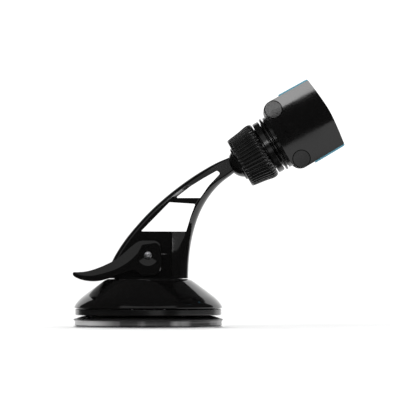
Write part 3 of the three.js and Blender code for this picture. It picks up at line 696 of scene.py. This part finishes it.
def ledge(foot):
    """The pocket's floor, which the lever's cam presses on."""
    left, half, radius = -15.0, 13.4, 21.1
    angle = math.asin(half / radius)
    outline = [(left, -half)]
    for k in range(33):
        a = -angle + 2 * angle * k / 32
        outline.append((radius * math.cos(a), radius * math.sin(a)))
    outline.append((left, half))
    return extruded("ledge", outline, foot, LEDGE_Z, axis="Z")


# ---- suction lock
LEVER_TOP = [
    (-2.6, 46.0), (-4.4, 45.7), (-6.4, 44.7), (-9.2, 42.5), (-11.9, 40.1), (-15.1, 37.4), (-18.8, 35.0),
    (-22.0, 33.4), (-25.7, 31.8), (-30.0, 30.3), (-33.7, 29.5), (-36.9, 29.25), (-38.8, 29.25),
]
LEVER_UNDER = [
    (-38.6, 26.6), (-36.4, 25.6), (-33.2, 24.75), (-29.5, 24.4), (-25.7, 24.6), (-20.4, 26.0), (-16.2, 27.3),
    (-12.4, 28.6), (-9.8, 29.4), (-7.8, 29.6), (-6.2, 29.3), (-5.0, 28.4), (-4.0, 27.4), (-2.8, 27.0),
]
# Along the top of the lever: how far its sloping facet reaches down the face, by x.
FACET = [
    (-39, 0.5), (-36, 1.6), (-30, 3.0), (-20, 4.4), (-12, 5.2), (-8, 4.8), (-5.5, 3.6), (-3.4, 2.3),
    (-1, 1.8), (3, 1.3), (6, 0.6), (9, 0.5),
]
EDGE_FACET = 0.5


def lever_outline():
    """(x, z, facet width) round the lever: its boss, its top, its finger tip and its underside."""
    boss = filleted([(-2.8, 27.0, 0), (7.0, 27.0, 5.2), (7.0, 46.0, 4.2), (-2.6, 46.0, 0)], 10)[1:-1]
    tip = filleted([(-38.8, 29.25, 0), (-39.85, 29.1, 0.4), (-39.85, 27.6, 0.7), (-38.6, 26.6, 0)], 5)[1:-1]
    top, under = curve_through(LEVER_TOP, 4), curve_through(LEVER_UNDER, 4)
    crown = PIVOT_Z + 5
    around = [(x, z, along(FACET, x) if z > crown else EDGE_FACET) for x, z in boss]
    around += [(x, z, along(FACET, x)) for x, z in top]
    return around + [(x, z, EDGE_FACET) for x, z in [*tip, *under]]


def faceted_plate(name, outline, half):
    """A plate whose faces slope back towards its outline, by each point's own facet width."""
    slope, least_depth = 0.42, 0.4
    bm = bmesh.new()
    rows = [[], [], [], []]
    count = len(outline)
    for i, (x, z, width) in enumerate(outline):
        before, after = Vector(outline[i - 1][:2]), Vector(outline[(i + 1) % count][:2])
        run = (after - before).normalized()
        inward = Vector((-run.y, run.x)) * width
        depth = half - (slope * width if width > EDGE_FACET + 0.05 else least_depth)
        for row, y, moved in ((0, -half, True), (1, -depth, False), (2, depth, False), (3, half, True)):
            at = (x + inward.x, y, z + inward.y) if moved else (x, y, z)
            rows[row].append(bm.verts.new(at))
    skinned(bm, rows)
    return new_object(name, bm)


def cam_lever():
    """The forked lever: two cheeks with shallow dishes, joined by a bridge at the finger end."""
    half = spans("cam_lever")[1][1]
    bridge_x, fork_half, bore_r = -24.6, 8.3, 2.18
    dish_floor, floor_r, rim_r = half - 0.95, 2.4, 5.6
    piece = faceted_plate("cam_lever_skin", lever_outline(), half)
    fork = block((bridge_x, -fork_half, 10), (20, fork_half, 60))
    carved(piece, [fork, cylinder(bore_r, -20, 20, (0, PIVOT_Z), segments=96)])
    dishes = []
    for side in (-1, 1):
        profile = [(0, dish_floor), (floor_r, dish_floor), (rim_r, half), (rim_r, half + 4), (0, half + 4)]
        dish = turned("dish", [(r, side * y) for r, y in profile], segments=128, axis="Y")
        dish.data.transform(Matrix.Translation(PIVOT))
        dishes.append(dish)
    carved(piece, dishes)
    bevelled(piece, 0.3, 3, 30)
    return finished(piece, "cam_lever", 15)


def cross_pin():
    """The lever's pin: a domed end with a six-sided recess in the near dish."""
    (near, far), radius = spans("cross_pin")[1], spans("cross_pin")[0][1]
    dome = [(radius * 0.9 * k / 6, near + 0.5 * (k / 6) ** 2) for k in range(7)]
    profile = filleted([(radius, near + 0.6, 0.1), (radius, far, 0.3), (0, far, 0)], 5)
    piece = turned("cross_pin_skin", [*dome, *profile], segments=96, axis="Y")
    piece.data.transform(Matrix.Translation(PIVOT))
    carved(piece, [cylinder(0.95, near - 1, near + 1.3, (0, PIVOT_Z), segments=6)])
    return finished(piece, "cross_pin")


def pin_retainer():
    (low, high), radius = spans("pin_retainer")[1], spans("pin_retainer")[0][1]
    profile = filleted([
        (0, low, 0), (radius, low, 0.15), (radius, high - 0.4, 0.4), (2.3, high, 0.3),
        (1.5, high, 0.1), (1.3, high - 0.3, 0.1), (0, high - 0.3, 0),
    ], 5)
    piece = turned("pin_retainer_skin", profile, segments=96, axis="Y")
    piece.data.transform(Matrix.Translation(PIVOT))
    return finished(piece, "pin_retainer")


def pull_stem():
    """The stem that the lever lifts, with the flange that holds the cup and a cross bore for the pin."""
    low, high = spans("pull_stem")[2]
    flange_r, stem_r = 9, 3.8
    profile = filleted([
        (0, low, 0), (flange_r, low, 0.4), (flange_r, low + 1.7, 0.3), (stem_r, low + 1.8, 0.6),
        (stem_r, high, 0.7), (0, high, 0),
    ], 5)
    piece = turned("pull_stem_skin", profile, segments=96)
    carved(piece, [cylinder(2.15, -9, 9, (0, PIVOT_Z), segments=96)])
    return finished(piece, "pull_stem", 32)


def coil_points(radius, low, high, turns, per_turn=32, closed_ends=0.9):
    """A compression spring's line: its end turns lie flat, and the pitch opens between them."""
    points = []
    total = int(turns * per_turn)
    for k in range(total + 1):
        turn = k / per_turn
        share = min(1, max(0, (turn - closed_ends) / (turns - 2 * closed_ends)))
        eased = share * share * (3 - 2 * share) * 0.25 + share * 0.75
        angle = 2 * math.pi * turn
        points.append((radius * math.cos(angle), radius * math.sin(angle), low + (high - low) * eased))
    return points


def coil(name, radius, wire, low, high, turns, basis=BASE, axis="Z"):
    """A round wire wound as a compression spring from low to high along an axis of the basis."""
    line = [Vector(p) for p in coil_points(radius, low + wire, high - wire, turns)]
    bm = bmesh.new()
    sides = 12
    rings = []
    for k, point in enumerate(line):
        ahead = line[min(k + 1, len(line) - 1)] - line[max(k - 1, 0)]
        forward = ahead.normalized()
        outward = Vector((point.x, point.y, 0)).normalized()
        across = forward.cross(outward).normalized()
        outward = across.cross(forward)
        ring = []
        for j in range(sides):
            a = 2 * math.pi * j / sides
            ring.append(bm.verts.new(point + wire * (math.cos(a) * outward + math.sin(a) * across)))
        rings.append(ring)
    skinned(bm, rings)
    bm.transform(TO_AXIS[axis])
    return new_object(name, bm, basis)


def sprung(piece, node):
    """A spring's look and slot; its node is hidden and its place baked into its mesh."""
    smooth(piece, 60)
    piece.data.materials.append(MATERIALS["spring_steel"])
    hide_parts(node)
    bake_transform(piece)
    return piece


def return_spring():
    """Its foot sits on the stem's flange and its head under the dome."""
    low, high = spans("return_spring")[2]
    piece = coil("return_spring_skin", 6.4, 0.8, low, high, 5.5)
    return sprung(piece, "return_spring")


# ---- ball clamp, in the head's axes
def sphere_arc(radius, start, stop, steps):
    """Profile points on a sphere about the ball's centre, by their place along the axis."""
    points = []
    for k in range(steps + 1):
        s = start + (stop - start) * k / steps
        points.append((math.sqrt(max(0, radius * radius - s * s)), s))
    return points


def collet():
    """The split ring round the ball: six fingers joined at the back."""
    low, high = spans("collet", HEAD)[0]
    outside = filleted([
        (8.3, high, 0), (11.2, high, 0.3), (11.2, 2.0, 0.6), (9.2, low + 0.5, 0.4), (8.9, low, 0.2),
        (7.9, low, 0),
    ], 4)
    piece = turned("collet_skin", [*sphere_arc(8.8, low, high, 20), *outside[1:-1]], HEAD, 144, "X")
    slits = []
    for k in range(3):
        turn = HEAD @ Matrix.Rotation((k + 0.5) * math.pi / 3, 4, "X")
        slits.append(block((low - 1, -14, -0.35), (1.4, 14, 0.35), turn))
    carved(piece, slits)
    return finished(piece, "collet", 32)


THREAD_PITCH = 2.0
THREAD_DEPTH = 0.7
NECK_R = 12.0


def threaded(crest, outward):
    """A radius that follows a right-hand thread wherever the profile has the crest's radius."""
    def shape(r, z, angle):
        if abs(r - crest) > 1e-6:
            return r
        share = (z / THREAD_PITCH - angle / (2 * math.pi)) % 1
        depth = THREAD_DEPTH * min(1, max(0, 2.6 * abs(share - 0.5) - 0.15))
        return r + depth if outward else r - depth
    return shape


def thread_line(radius, low, high, step=0.2):
    count = round((high - low) / step)
    return [(radius, low + (high - low) * k / count) for k in range(count + 1)]


def neck():
    """Threaded socket, and the two thin flanges between the nut and the cradle."""
    high = spans("neck", HEAD)[0][1]
    cavity = [(r, s) for r, s in reversed(sphere_arc(10.1, 3.4, 10.1, 16))]
    flanges = filleted([
        (NECK_R, 12.9, 0), (NECK_R, 16.95, 0.1), (12.9, 16.95, 0.2), (12.9, 17.3, 0.2), (15.0, 17.3, 0.3),
        (15.3, 17.6, 0.25), (15.3, 18.35, 0.25), (15.0, 18.6, 0.3), (13.5, 18.6, 0.25), (13.5, 19.3, 0.25),
        (14.6, 19.3, 0.3), (14.9, 19.6, 0.3), (14.9, high - 0.2, 0.2), (14.7, high, 0.15), (0, high, 0),
    ], 4)
    lead_in = [(11.4, 3.4), (11.6, 3.6), (11.8, 4.0)]
    profile = [*cavity, *lead_in, *thread_line(NECK_R, 4.2, 12.6)[1:], *flanges]
    thread, thread_end = threaded(NECK_R, False), 12.7

    def shape(r, z, angle):
        return thread(r, z, angle) if z < thread_end else r

    return lathed("neck", profile, 32, HEAD, 144, "X", shape)


NUT_RIBS = 43
NUT_SIDE = [
    (13.75, -2.6), (14.1, -0.6), (14.4, 1.6), (14.75, 4.2), (15.05, 6.0), (15.45, 7.8), (15.68, 9.4),
    (15.62, 10.9), (15.2, 12.05),
]


def lock_nut():
    """The ribbed nut: ribs run the whole side and fade into its rounded rims."""
    low, high = spans("lock_nut", HEAD)[0]
    side = curve_through(NUT_SIDE, 5)
    front = filleted([(9.8, low, 0), (10.0, low, 0.2), (13.2, low, 0.7), (13.75, -2.6, 0)], 5)[1:-1]
    back = filleted([(15.2, 12.05, 0), (14.6, high, 0.5), (13.2, high, 0.2), (13.2, high - 0.5, 0)], 5)[1:-1]
    inside = [
        (13.2, high - 0.4), (12.6, high - 0.5), *reversed(thread_line(12.3, 3.9, 12.0)), (11.7, 2.6),
        (9.9, low + 0.2),
    ]
    inner_thread = threaded(12.3, True)
    rib_depth = 0.62

    def shape(r, z, angle):
        if r < 12.61:
            return inner_thread(r, z, angle)
        share = 0.5 - 0.5 * math.cos(NUT_RIBS * angle)
        valley = share ** 1.6
        fade = min(1, max(0, (z - low - 0.5) / 1.4)) * min(1, max(0, (high - 0.4 - z) / 1.2))
        return r - rib_depth * valley * fade if r > 13.3 else r

    return lathed("lock_nut", [*front, *side, *back, *inside], 50, HEAD, NUT_RIBS * 12, "X", shape)


def slip_ring():
    low, high = spans("slip_ring", HEAD)[0]
    profile = filleted([
        (12.4, low, 0.15), (14.3, low, 0.3), (14.7, low + 0.4, 0.3), (14.7, high - 0.4, 0.3),
        (14.3, high, 0.3), (12.4, high, 0.15),
    ], 5)
    return lathed("slip_ring", profile, 32, HEAD, 144, "X")


def ball_seat():
    """The cap behind the ball, 1 mm thick and reaching 42 degrees from the axis."""
    inner_r, outer_r, reach = 8.8, 9.8, math.cos(math.radians(42))
    inside = sphere_arc(inner_r, inner_r * reach, inner_r, 14)
    outside = sphere_arc(outer_r, outer_r, outer_r * reach, 14)
    return lathed("ball_seat", [*reversed(inside), *reversed(outside)], 32, HEAD, 96, "X")


# ---- cradle, in the head's axes
HOUSING = spans("head_housing", HEAD)
MIDDLE = sum(HOUSING[2]) / 2
PIN_BORE_R = 1.75
RODS = [(level, side) for side in ("near", "far") for level in ("upper", "lower")]
SIGN = {"near": -1, "far": 1}
DOME_SCREWS = ["dome_screw_left", "dome_screw_right"]
NECK_SCREWS = [f"neck_screw_{k}" for k in range(1, 4)]
PLATE_SCREWS = [f"plate_screw_{k}" for k in range(1, 5)]


def place_of(node, basis=HEAD):
    """The middle of a CAD node in the head's axes, or in another basis."""
    return [sum(pair) / 2 for pair in spans(node, basis)]


def sided(sign, a, b):
    """Two distances from the middle, as (low, high) on the side that the sign says."""
    return sorted((sign * a, sign * b))


def bored(nodes, radius, low, high):
    """Cylinders along the head's axis, one at each node's place."""
    return [cylinder(radius, low, high, place_of(node)[1:], HEAD, "X") for node in nodes]


def head_housing():
    """The box behind the phone: rounded rear corners, a parting line, and holes for rods and racks."""
    (back, front), (_, half_y), (low, high) = HOUSING
    outline = filleted([(back, low, 5), (front, low, 0.6), (front, high, 0.6), (back, high, 5)], 12)
    piece = extruded("head_housing_skin", outline, -half_y, half_y, HEAD)
    bevelled(piece, 1.1, 4, 40)
    rear_wall, wall, end_wall = 1.4, 1.6, 2
    hollow = filleted([
        (back + rear_wall, low + wall, 2), (front + 1, low + wall, 0.1), (front + 1, high - wall, 0.1),
        (back + rear_wall, high - wall, 2),
    ], 8)
    carved(piece, [extruded("hollow", hollow, end_wall - half_y, half_y - end_wall, HEAD)])
    line = []
    for grow in (1.0, -0.22):
        frame_line = [(34.2, low - grow), (34.55, low - grow), (34.55, high + grow), (34.2, high + grow)]
        line.append(extruded("line", frame_line, -half_y - grow, half_y + grow, HEAD))
    carved(line[0], [line[1]])
    centre_boss = cylinder(3.4, back + 0.7, 27.2, (0, MIDDLE), HEAD, "X")
    carved(piece, [line[0]])
    joined(piece, [centre_boss, *bored(PLATE_SCREWS, 3.0, 30.5, front)])
    cutters = [cylinder(PIN_BORE_R, back + 1.3, 40, (0, MIDDLE), HEAD, "X")]
    cutters += bored(PLATE_SCREWS, 1.3, 31.6, 45)
    cutters += bored(NECK_SCREWS, 1.6, 15, 26)
    for level, side in RODS:
        s, _, n = place_of(f"guide_rod_{side}_{level}")
        cutters.append(cylinder(1.35, *sided(SIGN[side], 20, 26), (s, n), HEAD))
    for side, sign in SIGN.items():
        (s0, s1), _, (n0, n1) = spans(f"rack_{side}", HEAD)
        y0, y1 = sided(sign, 21, 30)
        cutters.append(block((s0 - 0.3, y0, n0 - 0.3), (s1 + 0.3, y1, n1 + 0.3), HEAD))
    carved(piece, cutters)
    return finished(piece, "head_housing")


def rounded_plate(node, radius, steps):
    """A plate across the head's axis, with the CAD node's box and round corners."""
    (back, front), (_, half_y), (low, high) = spans(node, HEAD)
    corners = ((-half_y, low), (half_y, low), (half_y, high), (-half_y, high))
    outline = filleted([(y, n, radius) for y, n in corners], steps)
    return extruded(f"{node}_skin", outline, back, front, HEAD, "X")


def front_plate():
    """The plate that closes the housing, with a counterbored hole for each screw."""
    back, front = spans("front_plate", HEAD)[0]
    piece = rounded_plate("front_plate", 2.2, 8)
    bevelled(piece, 0.45, 3, 40)
    cutters = [cylinder(PIN_BORE_R, back - 1, back + 1.2, (0, MIDDLE), HEAD, "X")]
    for node in PLATE_SCREWS:
        cutters += bored([node], 1.3, back - 1, front + 1)
        cutters += bored([node], 2.6, front - 1.3, front + 1)
    carved(piece, cutters)
    return finished(piece, "front_plate")


def rest_pad():
    """The rubber pad that the phone's back rests on, with shallow cross grooves."""
    (_, front), (_, half_y), (low, high) = spans("rest_pad", HEAD)
    piece = rounded_plate("rest_pad", 3, 10)
    grooves = []
    depth, half_groove, end = 0.35, 0.35, half_y - 2.4
    for k in range(7):
        n = low + (high - low) * (k + 1) / 8
        grooves.append(block((front - depth, -end, n - half_groove), (front + 1, end, n + half_groove), HEAD))
    carved(piece, grooves)
    bevelled(piece, 0.16, 2, 40)
    return finished(piece, "rest_pad")


JAW_CROWN_R = 106


def jaw_outline(half, back, front):
    """A jaw's side view: round rear corners and a front edge that bows outwards."""
    nose = front - 1.8
    bow = [
        (nose + 0.1, -half + 2.0), (nose + 1.0, -half * 0.55), (front, 0), (nose + 1.0, half * 0.55),
        (nose + 0.1, half - 2.0),
    ]
    low = filleted([
        (back, 0, 0), (back, -half, 5.9), (nose, -half + 0.5, 1.5), (nose + 0.1, -half + 2.0, 0),
    ], 10)[1:-1]
    high = [(s, -n) for s, n in reversed(low)]
    return [(s, n + MIDDLE) for s, n in [*low, *curve_through(bow, 8), *high]]


def jaw(side):
    """A jaw's side plate: crowned outside, with a parting line and two counterbores for the rod caps."""
    node = f"jaw_{side}"
    (back, front), (y0, y1), (low, high) = spans(node, HEAD)
    sign = SIGN[side]
    piece = extruded(f"{node}_skin", jaw_outline((high - low) / 2, back, front), y0, y1, HEAD)
    outside = max(abs(y0), abs(y1))
    crown = cylinder(JAW_CROWN_R, 10, 60, (sign * (outside - JAW_CROWN_R), MIDDLE), HEAD, "X", 720)
    combined(piece, [crown], "INTERSECT")
    bevelled(piece, 0.8, 4, 40)
    cutters = []
    for level in ("upper", "lower"):
        s, _, n = place_of(f"rod_cap_{side}_{level}")
        cutters.append(cylinder(1.5, *sided(sign, 25, 40), (s, n), HEAD))
        cutters.append(cylinder(4.85, *sided(sign, 30.3, 40), (s, n), HEAD, segments=96))
    y_line = sided(sign, outside - 1.6, outside + 1)
    cutters.append(parting_line(s, y_line, low, high, sign, outside))
    carved(piece, cutters)
    return finished(piece, node)


def parting_line(s, y_line, low, high, sign, outside):
    """A thin line across the crowned face, between the two caps."""
    width, depth = 0.16, 0.3
    cutter = block((s - width, y_line[0], low - 1), (s + width, y_line[1], high + 1), HEAD)
    radius = JAW_CROWN_R - depth
    core = cylinder(radius, s - 2, s + 2, (sign * (outside - JAW_CROWN_R), MIDDLE), HEAD, "X", 720)
    return carved(cutter, [core])


def jaw_liner(side):
    """The soft liner inside a jaw: proud of it above and below, with a lip in front of the phone."""
    node = f"jaw_liner_{side}"
    (back, front), (y0, y1), (low, high) = spans(node, HEAD)
    sign = SIGN[side]
    outer = max(abs(y0), abs(y1))
    lip = min(abs(y0), abs(y1))
    inner = lip + 3.4
    line = curve_through([
        (front - 0.15, lip + 1.0), (front - 1.2, lip + 0.02), (front - 2.4, lip + 0.9),
        (front - 3.4, lip + 2.3), (front - 5, inner - 0.15), (front - 7, inner),
    ], 6)
    outline = [(back, outer), (front, outer), *line, (back, inner)]
    proud = 0.35
    low, high = low - proud, high + proud
    piece = extruded(f"{node}_skin", [(s, sign * y) for s, y in outline], low, high, HEAD, "Z")
    grooves = []
    y_low, y_high = sided(sign, inner - 1, inner + 0.3)
    for k in range(5):
        s = back + 2.2 + 1.7 * k
        grooves.append(block((s - 0.3, y_low, low + 2), (s + 0.3, y_high, high - 2), HEAD))
    carved(piece, grooves)
    jaw_back, jaw_front = spans(f"jaw_{side}", HEAD)[0]
    nose = jaw_outline((high - low) / 2, jaw_back, jaw_front - 0.1)
    combined(piece, [extruded("nose", nose, -40, 40, HEAD)], "INTERSECT")
    bevelled(piece, 0.12, 2, 50)
    return finished(piece, node)


def guide_rod(level, side):
    """A rod with a collar near the middle of the head, which its spring pushes on."""
    node = f"guide_rod_{side}_{level}"
    s, _, n = place_of(node)
    sign = SIGN[side]
    rod_r, collar_r, start, collar_end, end = 1.2, 2.1, 1.5, 3.0, 30.0
    profile = filleted([
        (0, start, 0), (collar_r, start, 0.3), (collar_r, collar_end, 0.2), (rod_r, collar_end, 0.15),
        (rod_r, end, 0.25), (0, end, 0),
    ], 4)
    piece = turned(f"{node}_skin", [(r, sign * y) for r, y in profile], BASE, 64, "Y")
    piece.data.transform(offset_by(s, 0, n, HEAD))
    return finished(piece, node)


def rod_cap(level, side):
    """A round plug in the jaw's counterbore, its face following the jaw's crown."""
    node = f"rod_cap_{side}_{level}"
    (s0, s1), (y0, y1), (n0, n1) = spans(node, HEAD)
    sign = SIGN[side]
    inner, outer = min(abs(y0), abs(y1)), max(abs(y0), abs(y1))
    cap = (s1 - s0) / 2
    profile = filleted([(0, inner, 0), (cap, inner, 0.2), (cap, outer, 0), (0, outer, 0)], 3)
    piece = turned(f"{node}_skin", [(r, sign * y) for r, y in profile], BASE, 96, "Y")
    level_n = (n0 + n1) / 2
    piece.data.transform(offset_by((s0 + s1) / 2, 0, level_n, HEAD))
    nearest = abs(level_n - MIDDLE) - cap
    face = outer - math.sqrt(JAW_CROWN_R ** 2 - nearest ** 2)
    combined(piece, [cylinder(JAW_CROWN_R, 10, 60, (sign * face, MIDDLE), HEAD, "X", 720)], "INTERSECT")
    bevelled(piece, 0.15, 2, 40)
    return finished(piece, node, 35)


def jaw_spring(level, side):
    """Wound round a guide rod between the housing's wall and the rod's collar."""
    node = f"jaw_spring_{side}_{level}"
    s, _, n = place_of(node)
    y0, y1 = spans(node, HEAD)[1]
    piece = coil(f"{node}_skin", 1.75, 0.25, y0, y1, 5, offset_by(s, 0, n, HEAD), "Y")
    return sprung(piece, node)


def screw(node, basis, axis, head_first=False):
    """A pan-head screw with a cross recess. Its head is at the high end of its axis, unless head_first."""
    ranges = spans(node, basis)
    along_axis = {"X": 0, "Z": 2}[axis]
    low, high = ranges[along_axis]
    across = [i for i in range(3) if i != along_axis]
    centre = [sum(ranges[i]) / 2 for i in across]
    head_r = (ranges[across[0]][1] - ranges[across[0]][0]) / 2
    height = 1.9 if head_first else 1.5
    shank = 1.15 if head_r < 2.35 else 1.4
    length = high - low
    seat = length - height
    profile = filleted([
        (0, 0, 0), (0.5 * shank, 0.15, 0), (shank, 1.0, 0.1), (shank, seat, 0.05), (head_r, seat, 0.12),
        (head_r, length - 0.45, 0.35), (0.6 * head_r, length, 0.4), (0, length, 0),
    ], 4)
    if head_first:
        profile = [(r, length - z) for r, z in profile]
    piece = turned(f"{node}_skin", [(r, z + low) for r, z in profile], BASE, 64, axis)
    offset = [0, 0, 0]
    offset[across[0]], offset[across[1]] = centre
    top = low - 0.5 if head_first else high - 0.8
    recess = []
    for turn in (0, math.pi / 2):
        arm_of_cross = block((-0.55 * head_r, -0.22, 0), (0.55 * head_r, 0.22, 1.3))
        spin = Matrix.Rotation(turn, 4, "Z")
        arm_of_cross.data.transform(offset_by(0, 0, top, TO_AXIS[axis]) @ spin)
        recess.append(arm_of_cross)
    carved(piece, recess)
    piece.data.transform(offset_by(*offset, basis))
    return finished(piece, node)


def refined(node, bevel):
    """A new piece from a copy of a flat-sided CAD node's mesh, with its edges broken."""
    bm = bmesh.new()
    bm.from_mesh(frame["nodes"][node].data)
    bmesh.ops.remove_doubles(bm, verts=bm.verts, dist=1e-7)
    bmesh.ops.dissolve_limit(bm, angle_limit=math.radians(1), verts=bm.verts, edges=bm.edges)
    piece = linked(f"{node}_skin", bm)
    bevelled(piece, bevel, 2, 20)
    return finished(piece, node)


def pinion_pin():
    low, high = spans("pinion_pin", HEAD)[0]
    radius = 1.6
    profile = filleted([(0, low, 0), (radius, low, 0.3), (radius, high, 0.3), (0, high, 0)], 4)
    piece = turned("pinion_pin_skin", profile, BASE, 64, "X")
    piece.data.transform(offset_by(0, 0, MIDDLE, HEAD))
    return finished(piece, "pinion_pin")


# ---- assembly
for make in (
    gel_pad, suction_cup, pressure_ring, base_dome, arm, cam_lever, cross_pin, pin_retainer, pull_stem,
    return_spring, ball_seat, collet, neck, lock_nut, slip_ring, head_housing, front_plate, rest_pad,
    pinion_pin,
):
    make()
for side in ("near", "far"):
    jaw(side)
    jaw_liner(side)
    refined(f"rack_{side}", 0.12)
for level, side in RODS:
    guide_rod(level, side)
    rod_cap(level, side)
    jaw_spring(level, side)
refined("pinion", 0.1)
for node in DOME_SCREWS:
    screw(node, BASE, "Z", head_first=True)
for node in [*NECK_SCREWS, *PLATE_SCREWS]:
    screw(node, HEAD, "X")


# ---- studio
def plain(name, color, roughness, glow=0.0):
    m = Nodes(name, color, roughness)
    m.rough(30, 3, roughness * 0.95, roughness)
    if glow:
        m.set("Emission Color", (1, 1, 1, 1))
        m.set("Emission Strength", glow)
    return m.material


def staged(name, bm, material, unseen_by=()):
    """A piece of the studio; unseen_by lists the kinds of ray that pass through it."""
    piece = linked(name, bm)
    piece.data.materials.append(material)
    for ray in unseen_by:
        setattr(piece, f"visible_{ray}", False)
    return piece


def floor():
    """White ground, which reflections do not see: the screens stand in for it there."""
    bm = bmesh.new()
    reach, top = 20, -2e-4
    corners = ((-reach, -reach), (reach, -reach), (reach, reach), (-reach, reach))
    bm.faces.new([bm.verts.new((x, y, top)) for x, y in corners])
    staged("floor", bm, plain("floor_white", (0.9, 0.9, 0.9), 0.7), ("glossy",))


def world():
    """An even white room."""
    scene_world = bpy.data.worlds.new("room")
    scene_world.use_nodes = True
    background = scene_world.node_tree.nodes["Background"]
    background.inputs["Color"].default_value = (1, 1, 1, 1)
    background.inputs["Strength"].default_value = 1.2
    bpy.context.scene.world = scene_world


CENTRE = Vector((0.03, 0, 0.06))


def towards(azimuth, elevation):
    """A direction from the object, in degrees: azimuth 0 is the camera's side and 90 is +X."""
    a, e = math.radians(azimuth), math.radians(elevation)
    return Vector((math.sin(a) * math.cos(e), -math.cos(a) * math.cos(e), math.sin(e)))


def screen(name, azimuths, elevations, glow=0.0, radius=2.6):
    """Part of a sphere round the object that only reflections see: black, or glowing as a soft light does."""
    bm = bmesh.new()
    rows = []
    for elevation in stepped(*elevations, 16):
        rows.append([bm.verts.new(CENTRE + towards(a, elevation) * radius) for a in stepped(*azimuths, 40)])
    for low, high in zip(rows, rows[1:]):
        for j in range(40):
            bm.faces.new((low[j], low[j + 1], high[j + 1], high[j]))
    material = plain(f"{name}_look", (0.003, 0.003, 0.003), 1.0, glow)
    staged(name, bm, material, ("camera", "diffuse", "transmission", "shadow", "volume_scatter"))


def aimed(name, data, place, back):
    """An object at a place, looking along the opposite of back."""
    piece = bpy.data.objects.new(name, data)
    piece.location = place
    piece.rotation_mode = "QUATERNION"
    piece.rotation_quaternion = back.to_track_quat("Z", "Y")
    bpy.context.scene.collection.objects.link(piece)
    return piece


def softbox(name, azimuth, elevation, size, power, distance=1.5):
    """A rectangular light aimed at the object, which reflections do not see."""
    direction = towards(azimuth, elevation)
    light = bpy.data.lights.new(name, "AREA")
    light.shape = "RECTANGLE"
    light.size, light.size_y = size
    light.energy = power
    aimed(name, light, CENTRE + direction * distance, direction).visible_glossy = False


def camera():
    """The photograph's view: 3.6 m away and 62 mm above the table, looking a little up and to the left."""
    data = bpy.data.cameras.new("camera")
    data.sensor_width = 36
    eye, aim = Vector((0.058, -3.6, 0.062)), Vector((0.0276, 0, 0.0676))
    half_view = 0.1066
    data.lens = data.sensor_width / 2 / (half_view / (aim - eye).length)
    data.clip_start, data.clip_end = 0.01, 100
    bpy.context.scene.camera = aimed("camera", data, eye, eye - aim)


floor()
world()
screen("dark_walls", (-140, 132), (-88, 89.9), 0.03)
screen("dark_ceiling", (132, 220), (35, 89.9), 0.03)
screen("key_card", (-10, -2.4), (15.2, 28), 8, 1.8)
screen("table_card", (3, 24), (-17, -3.0), 1.1, 1.8)
screen("fill_card", (-55, 55), (16, 50), 0.5, 1.9)
screen("side_card", (48, 140), (-48, -4), 1.5, 1.9)
softbox("top_front", -20, 52, (0.7, 0.35), 4)
camera()
bpy.context.scene.view_settings.view_transform = "Standard"
